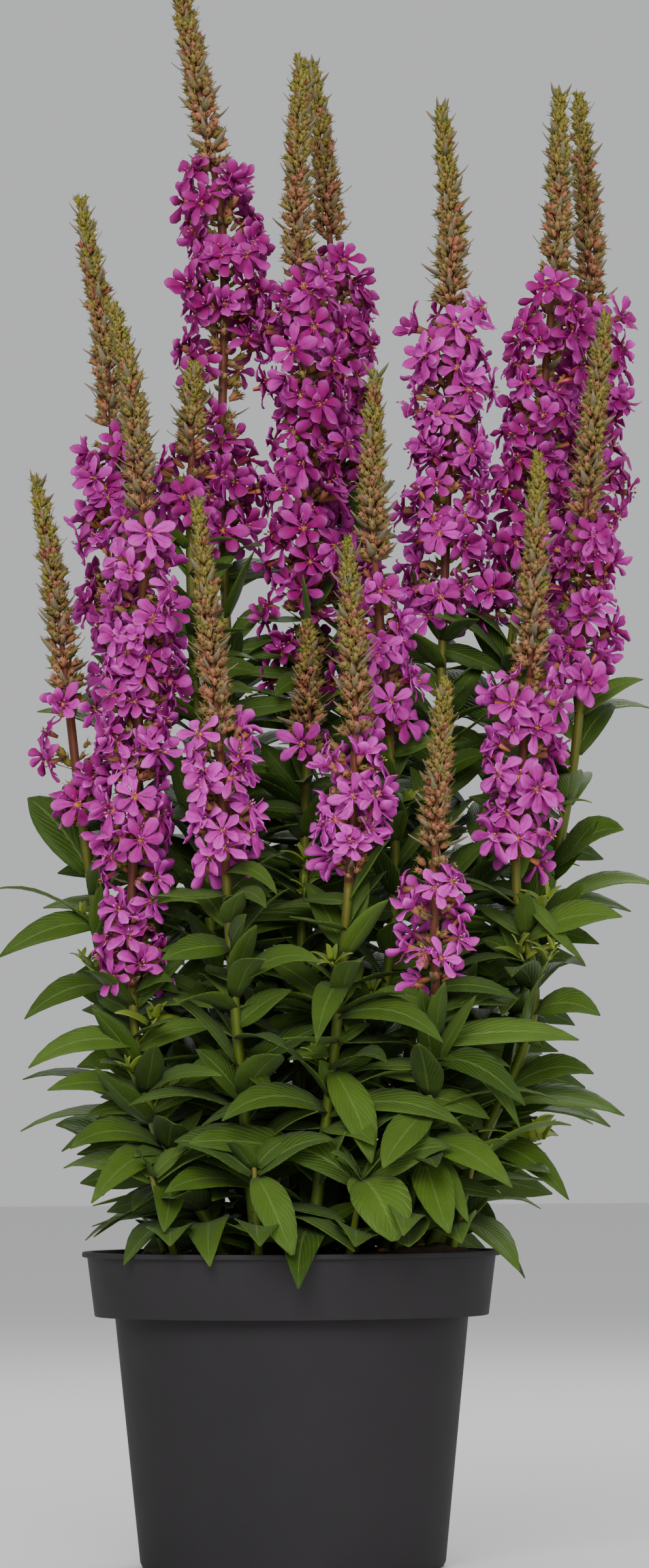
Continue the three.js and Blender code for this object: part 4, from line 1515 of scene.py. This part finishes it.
def makeShoot(number, points, s):
    node = "shoot_%02d" % number
    line = axisOf(points, s["rootDepth"])
    draw = seeded(1300 + number)
    stations = barStations(line, line[0].z / mm, points[-1][2], (s["radius"], s["radius"] / 2), s["step"])
    bm = startBar(stations, s["sides"], greenLook, s["tone"])
    corners = cornersOf(node)
    frameDraw = seeded(499 + number)
    turn = 360 * frameDraw()
    leaves = []
    for pair in range(s["leafPairs"]):
        share = pair / (s["leafPairs"] - 1)
        root = onAxis(line, mix(*s["leafAt"], share))[0]
        turn += 90
        for half in (0, 180):
            length = s["leafLength"] * (s["lengthShare"] + s["lengthRange"] * frameDraw())
            choices = leafChoices(root, turn + half, mix(*s["rise"], share), length, s["leafWidth"],
                                  faceNear(frameDraw))
            leaves.append(asInFrame(choices, corners))
    tip = onAxis(line, s["tuftAt"])[0]
    for i in range(s["tuft"]):
        rise, length = between(draw, *s["tuftRise"]), between(draw, *s["tuftLength"])
        width = between(draw, *s["tuftWidth"])
        choices = leafChoices(tip, turn + 45 + 90 * i, rise, length, width, faceNear(draw))
        leaves.append(clearChoice(choices, node, draw))
    for leaf in leaves + frontLeavesOf("shoot", number, line):
        if leaf:
            growLeaf(bm, leaf, draw)
    addPlantPiece(bm, "lowShoot%02d" % number, "leaf", node)


for number, points in enumerate(shootForm["axes"], 1):
    makeShoot(number, points, shootForm)
print("low shoots done")


# Flower whorls: two opposite tufts of flowers at each joint, with buds, spent calyxes and bracts among
# them. Every pair is the limits of a draw.
whorlForm = {
    "spacing": 13.5,
    "turn": (-12, 12),
    "flowers": 8,
    "tuftSpread": 48,
    "tuftTurn": (-16, 16),
    "mouth": (9.5, 16.5),
    "rise": (-14, 46),
    "jitter": (-4.5, 4.5),
    "lookAside": (-0.3, 0.3),
    "lookUp": (-0.3, 0.35),
    "size": (0.82, 1.1),
    "tone": (-0.25, 0.3),
    "thinAbove": 0.85,
    "fewest": 0.45,
    "spareBuds": 10,
    "spareJitter": (-6, 6),
    "spareTurn": (-70, 70),
    "spareRise": (0, 55),
    "spareFoot": (2, 7),
    "spareSize": (1.05, 1.75),
    "spareTone": (0.2, 1.1),
    "bractDrop": 3,
    "bractTurn": (-15, 15),
    "bractRise": (-5, 30),
    "bractFoot": 1.5,
    "bractSpin": (-0.5, 0.5),
    "bractLength": (0.9, 1.35),
    "bractTone": (0.0, 0.6),
    "barTone": 0.4,
}

# Single whorls below and between the full ones, by stem: from, to and how full
looseBlooms = {
    1: [(508, 548, 0.3)],
    2: [(398, 440, 0.4)],
    3: [(440, 486, 0.7)],
    5: [(430, 466, 0.7)],
    6: [(448, 474, 0.5)],
    8: [(398, 420, 0.6)],
    9: [(342, 354, 0.5)],
}


def whorlHeights(low, high, spacing):
    count = max(1, round((high - low) / spacing))
    return [mix(low, high, (i + 0.5) / count) for i in range(count)]


def pick(shapes, draw):
    return shapes[int(draw() * len(shapes))]


def addFlowers(bm, line, height, turn, stem, share, fill, draw, s):
    # share is 0 at the foot of the flowering part and 1 at its top, where the last flowers stand alone
    chance = mix(1, s["fewest"], max(0, (share - s["thinAbove"]) / (1 - s["thinAbove"])))
    flowers = 2 * round(s["flowers"] * fill / 2)
    for i in range(flowers):
        place = atHeight(line, height + between(draw, *s["jitter"]))[0]
        rise = between(draw, *s["rise"])
        tuft = (2 * math.floor(i / 2) + 1) / flowers * 2 - 1
        aim = direction(turn + 180 * (i % 2) + s["tuftSpread"] * tuft + between(draw, *s["tuftTurn"]), rise)
        foot = between(draw, *s["mouth"]) * stem["reach"] - flowerForm["tubeLength"]
        swerve = (between(draw, *s["lookAside"]), between(draw, *s["lookAside"]), between(draw, *s["lookUp"]))
        look = (aim + Vector(swerve)).normalized()
        spin, size = anyTurn(draw), between(draw, *s["size"])
        shade = stem["tone"] + between(draw, *s["tone"])
        if draw() < chance:
            seat = facing(place + aim * foot * mm, look, spin, size)
            stamp(bm, pick(flowerShapes, draw), seat, shade)


def addSpareBudsAndBracts(bm, line, height, turn, draw, s):
    for i in range(s["spareBuds"]):
        place = atHeight(line, height + between(draw, *s["spareJitter"]))[0]
        side = turn + 180 * (i % 2) + between(draw, *s["spareTurn"])
        aim = direction(side, between(draw, *s["spareRise"]))
        foot = aim * between(draw, *s["spareFoot"]) * mm
        seat = facing(place + foot, aim, anyTurn(draw), between(draw, *s["spareSize"]))
        stamp(bm, pick(budShapes, draw), seat, between(draw, *s["spareTone"]))
    for half in (0, 180):
        place = atHeight(line, height - s["bractDrop"])[0]
        aim = direction(turn + half + between(draw, *s["bractTurn"]), between(draw, *s["bractRise"]))
        spin, size = between(draw, *s["bractSpin"]), mix(*s["bractLength"], draw())
        seat = facing(place + aim * s["bractFoot"] * mm, aim, spin, size)
        stamp(bm, pick(bractShapes, draw), seat, between(draw, *s["bractTone"]))


def makeFlowerSpike(number, stem, s):
    line = axisOf(stem["axis"], stemForm["rootDepth"])
    draw = seeded(2000 + number)
    low, high = stem["blooms"][0][0], stem["blooms"][-1][1]
    stations = barStations(line, low, high, (stemForm["topRadius"], stemForm["topRadius"]), stemForm["step"])
    bm = startBar(stations, stemForm["sides"], redLook, s["barTone"])
    turn = 180 * draw()
    for near, far, fill in list(stem["blooms"]) + looseBlooms.get(number, []):
        for height in whorlHeights(near, far, s["spacing"]):
            turn += 90 + between(draw, *s["turn"])
            addFlowers(bm, line, height, turn, stem, (height - low) / (high - low), fill, draw, s)
            addSpareBudsAndBracts(bm, line, height, turn, draw, s)
    addPlantPiece(bm, "flowerSpike%02d" % number, "petal", "stem_%02d_flowers" % number)


for number, stem in enumerate(stems, 1):
    makeFlowerSpike(number, stem, whorlForm)
print("flower spikes done")


# Bud spikes: whorls of buds that crowd together towards the tip, with fine bracts standing out.
# A pair holds at the tip and at the foot of the spike; where its name is plural, it is the limits of a draw.
spikeForm = {
    "turns": (-8, 8),
    "step": (2.5, 4.3),
    "apart": 4.5,
    "apartFrom": 1.2,
    "buds": (7, 15),
    "budTurns": (-10, 10),
    "budRise": (68, 26),
    "budRises": (-12, 12),
    "alongShare": 0.2,
    "budFoot": (0.8, 3.3),
    "budFeet": (0.7, 1.3),
    "budSize": (0.7, 1.4),
    "budSizes": (0.7, 1.2),
    "budShifts": (-0.6, 0.6),
    "budShapes": (2.9, 5),
    "budTones": (-0.3, 0.3),
    "bracts": 3,
    "bractEvery": (3, 1),
    "bractTurns": (-25, 25),
    "bractRise": (40, 16),
    "bractRises": (-10, 14),
    "bractFoot": (0.8, 2.2),
    "bractSize": (0.85, 1.2),
    "bractSizes": (0.85, 1.25),
    "bractSpins": (-0.5, 0.5),
    "bractTone": (0.2, 0.9),
    "bractTones": (-0.2, 0.2),
    "barTone": 0.5,
    "barBelowTip": 2,
    "firstWhorl": 3.0,
    "crest": 5,
    "crestBelowTip": 3.5,
    "crestRise": 60,
    "crestSizes": (0.55, 0.8),
    "crestTones": (0.4, 1.0),
}


def addBudWhorl(bm, line, height, share, turn, draw, s):
    # share is 0 at the spike's tip and 1 at its foot
    place, along = atHeight(line, height)
    count = round(mix(*s["buds"], share))
    for i in range(count):
        side = turn + 360 * i / count + between(draw, *s["budTurns"])
        aim = direction(side, mix(*s["budRise"], share ** 0.5) + between(draw, *s["budRises"]))
        aim = (aim + along * s["alongShare"]).normalized()
        foot = mix(*s["budFoot"], share ** 0.45) * between(draw, *s["budFeet"])
        size = mix(*s["budSize"], share ** 0.35) * between(draw, *s["budSizes"])
        shift = along * between(draw, *s["budShifts"]) * mix(*s["step"], share)
        seat = facing(place + (aim * foot + shift) * mm, aim, anyTurn(draw), size)
        shape = budShapes[int(draw() * mix(*s["budShapes"], share))]
        stamp(bm, shape, seat, share + between(draw, *s["budTones"]))
    if int(turn / 90) % round(mix(*s["bractEvery"], min(1, 1.4 * share))):
        return
    for i in range(s["bracts"]):
        side = turn + 360 * i / s["bracts"] + between(draw, *s["bractTurns"])
        aim = direction(side, mix(*s["bractRise"], share) + between(draw, *s["bractRises"]))
        size = mix(*s["bractSize"], share) * between(draw, *s["bractSizes"])
        foot = aim * mix(*s["bractFoot"], share) * mm
        seat = facing(place + foot, aim, between(draw, *s["bractSpins"]), size)
        tone = mix(*s["bractTone"], share)
        stamp(bm, pick(bractShapes, draw), seat, tone + between(draw, *s["bractTones"]))


def makeBudSpike(number, stem, s):
    line = axisOf(stem["axis"], stemForm["rootDepth"])
    draw = seeded(3000 + number)
    low, tip = stem["blooms"][-1][1], stem["axis"][-1][2]
    radii = (stemForm["topRadius"], stemForm["tipRadius"])
    stations = barStations(line, low, tip - s["barBelowTip"], radii, stemForm["tipStep"])
    bm = startBar(stations, stemForm["tipSides"], redLook, s["barTone"])
    turn = 90 * draw()
    height = tip - s["firstWhorl"]
    while height > low + s["firstWhorl"]:
        share = (tip - height) / (tip - low)
        turn += 90 + between(draw, *s["turns"])
        addBudWhorl(bm, line, height, share, turn, draw, s)
        height -= mix(*s["step"], share ** 0.8) + s["apart"] * max(0, 2.2 * share - s["apartFrom"])
    place, along = atHeight(line, tip - s["crestBelowTip"])
    for i in range(s["crest"]):
        aim = (direction(360 * i / s["crest"], s["crestRise"]) + along * 2).normalized()
        shape = pick(budShapes[:3], draw)
        seat = facing(place, aim, anyTurn(draw), between(draw, *s["crestSizes"]))
        stamp(bm, shape, seat, between(draw, *s["crestTones"]))
    addPlantPiece(bm, "budSpike%02d" % number, "bud", "stem_%02d_buds" % number)


for number, stem in enumerate(stems, 1):
    makeBudSpike(number, stem, spikeForm)
print("bud spikes done")
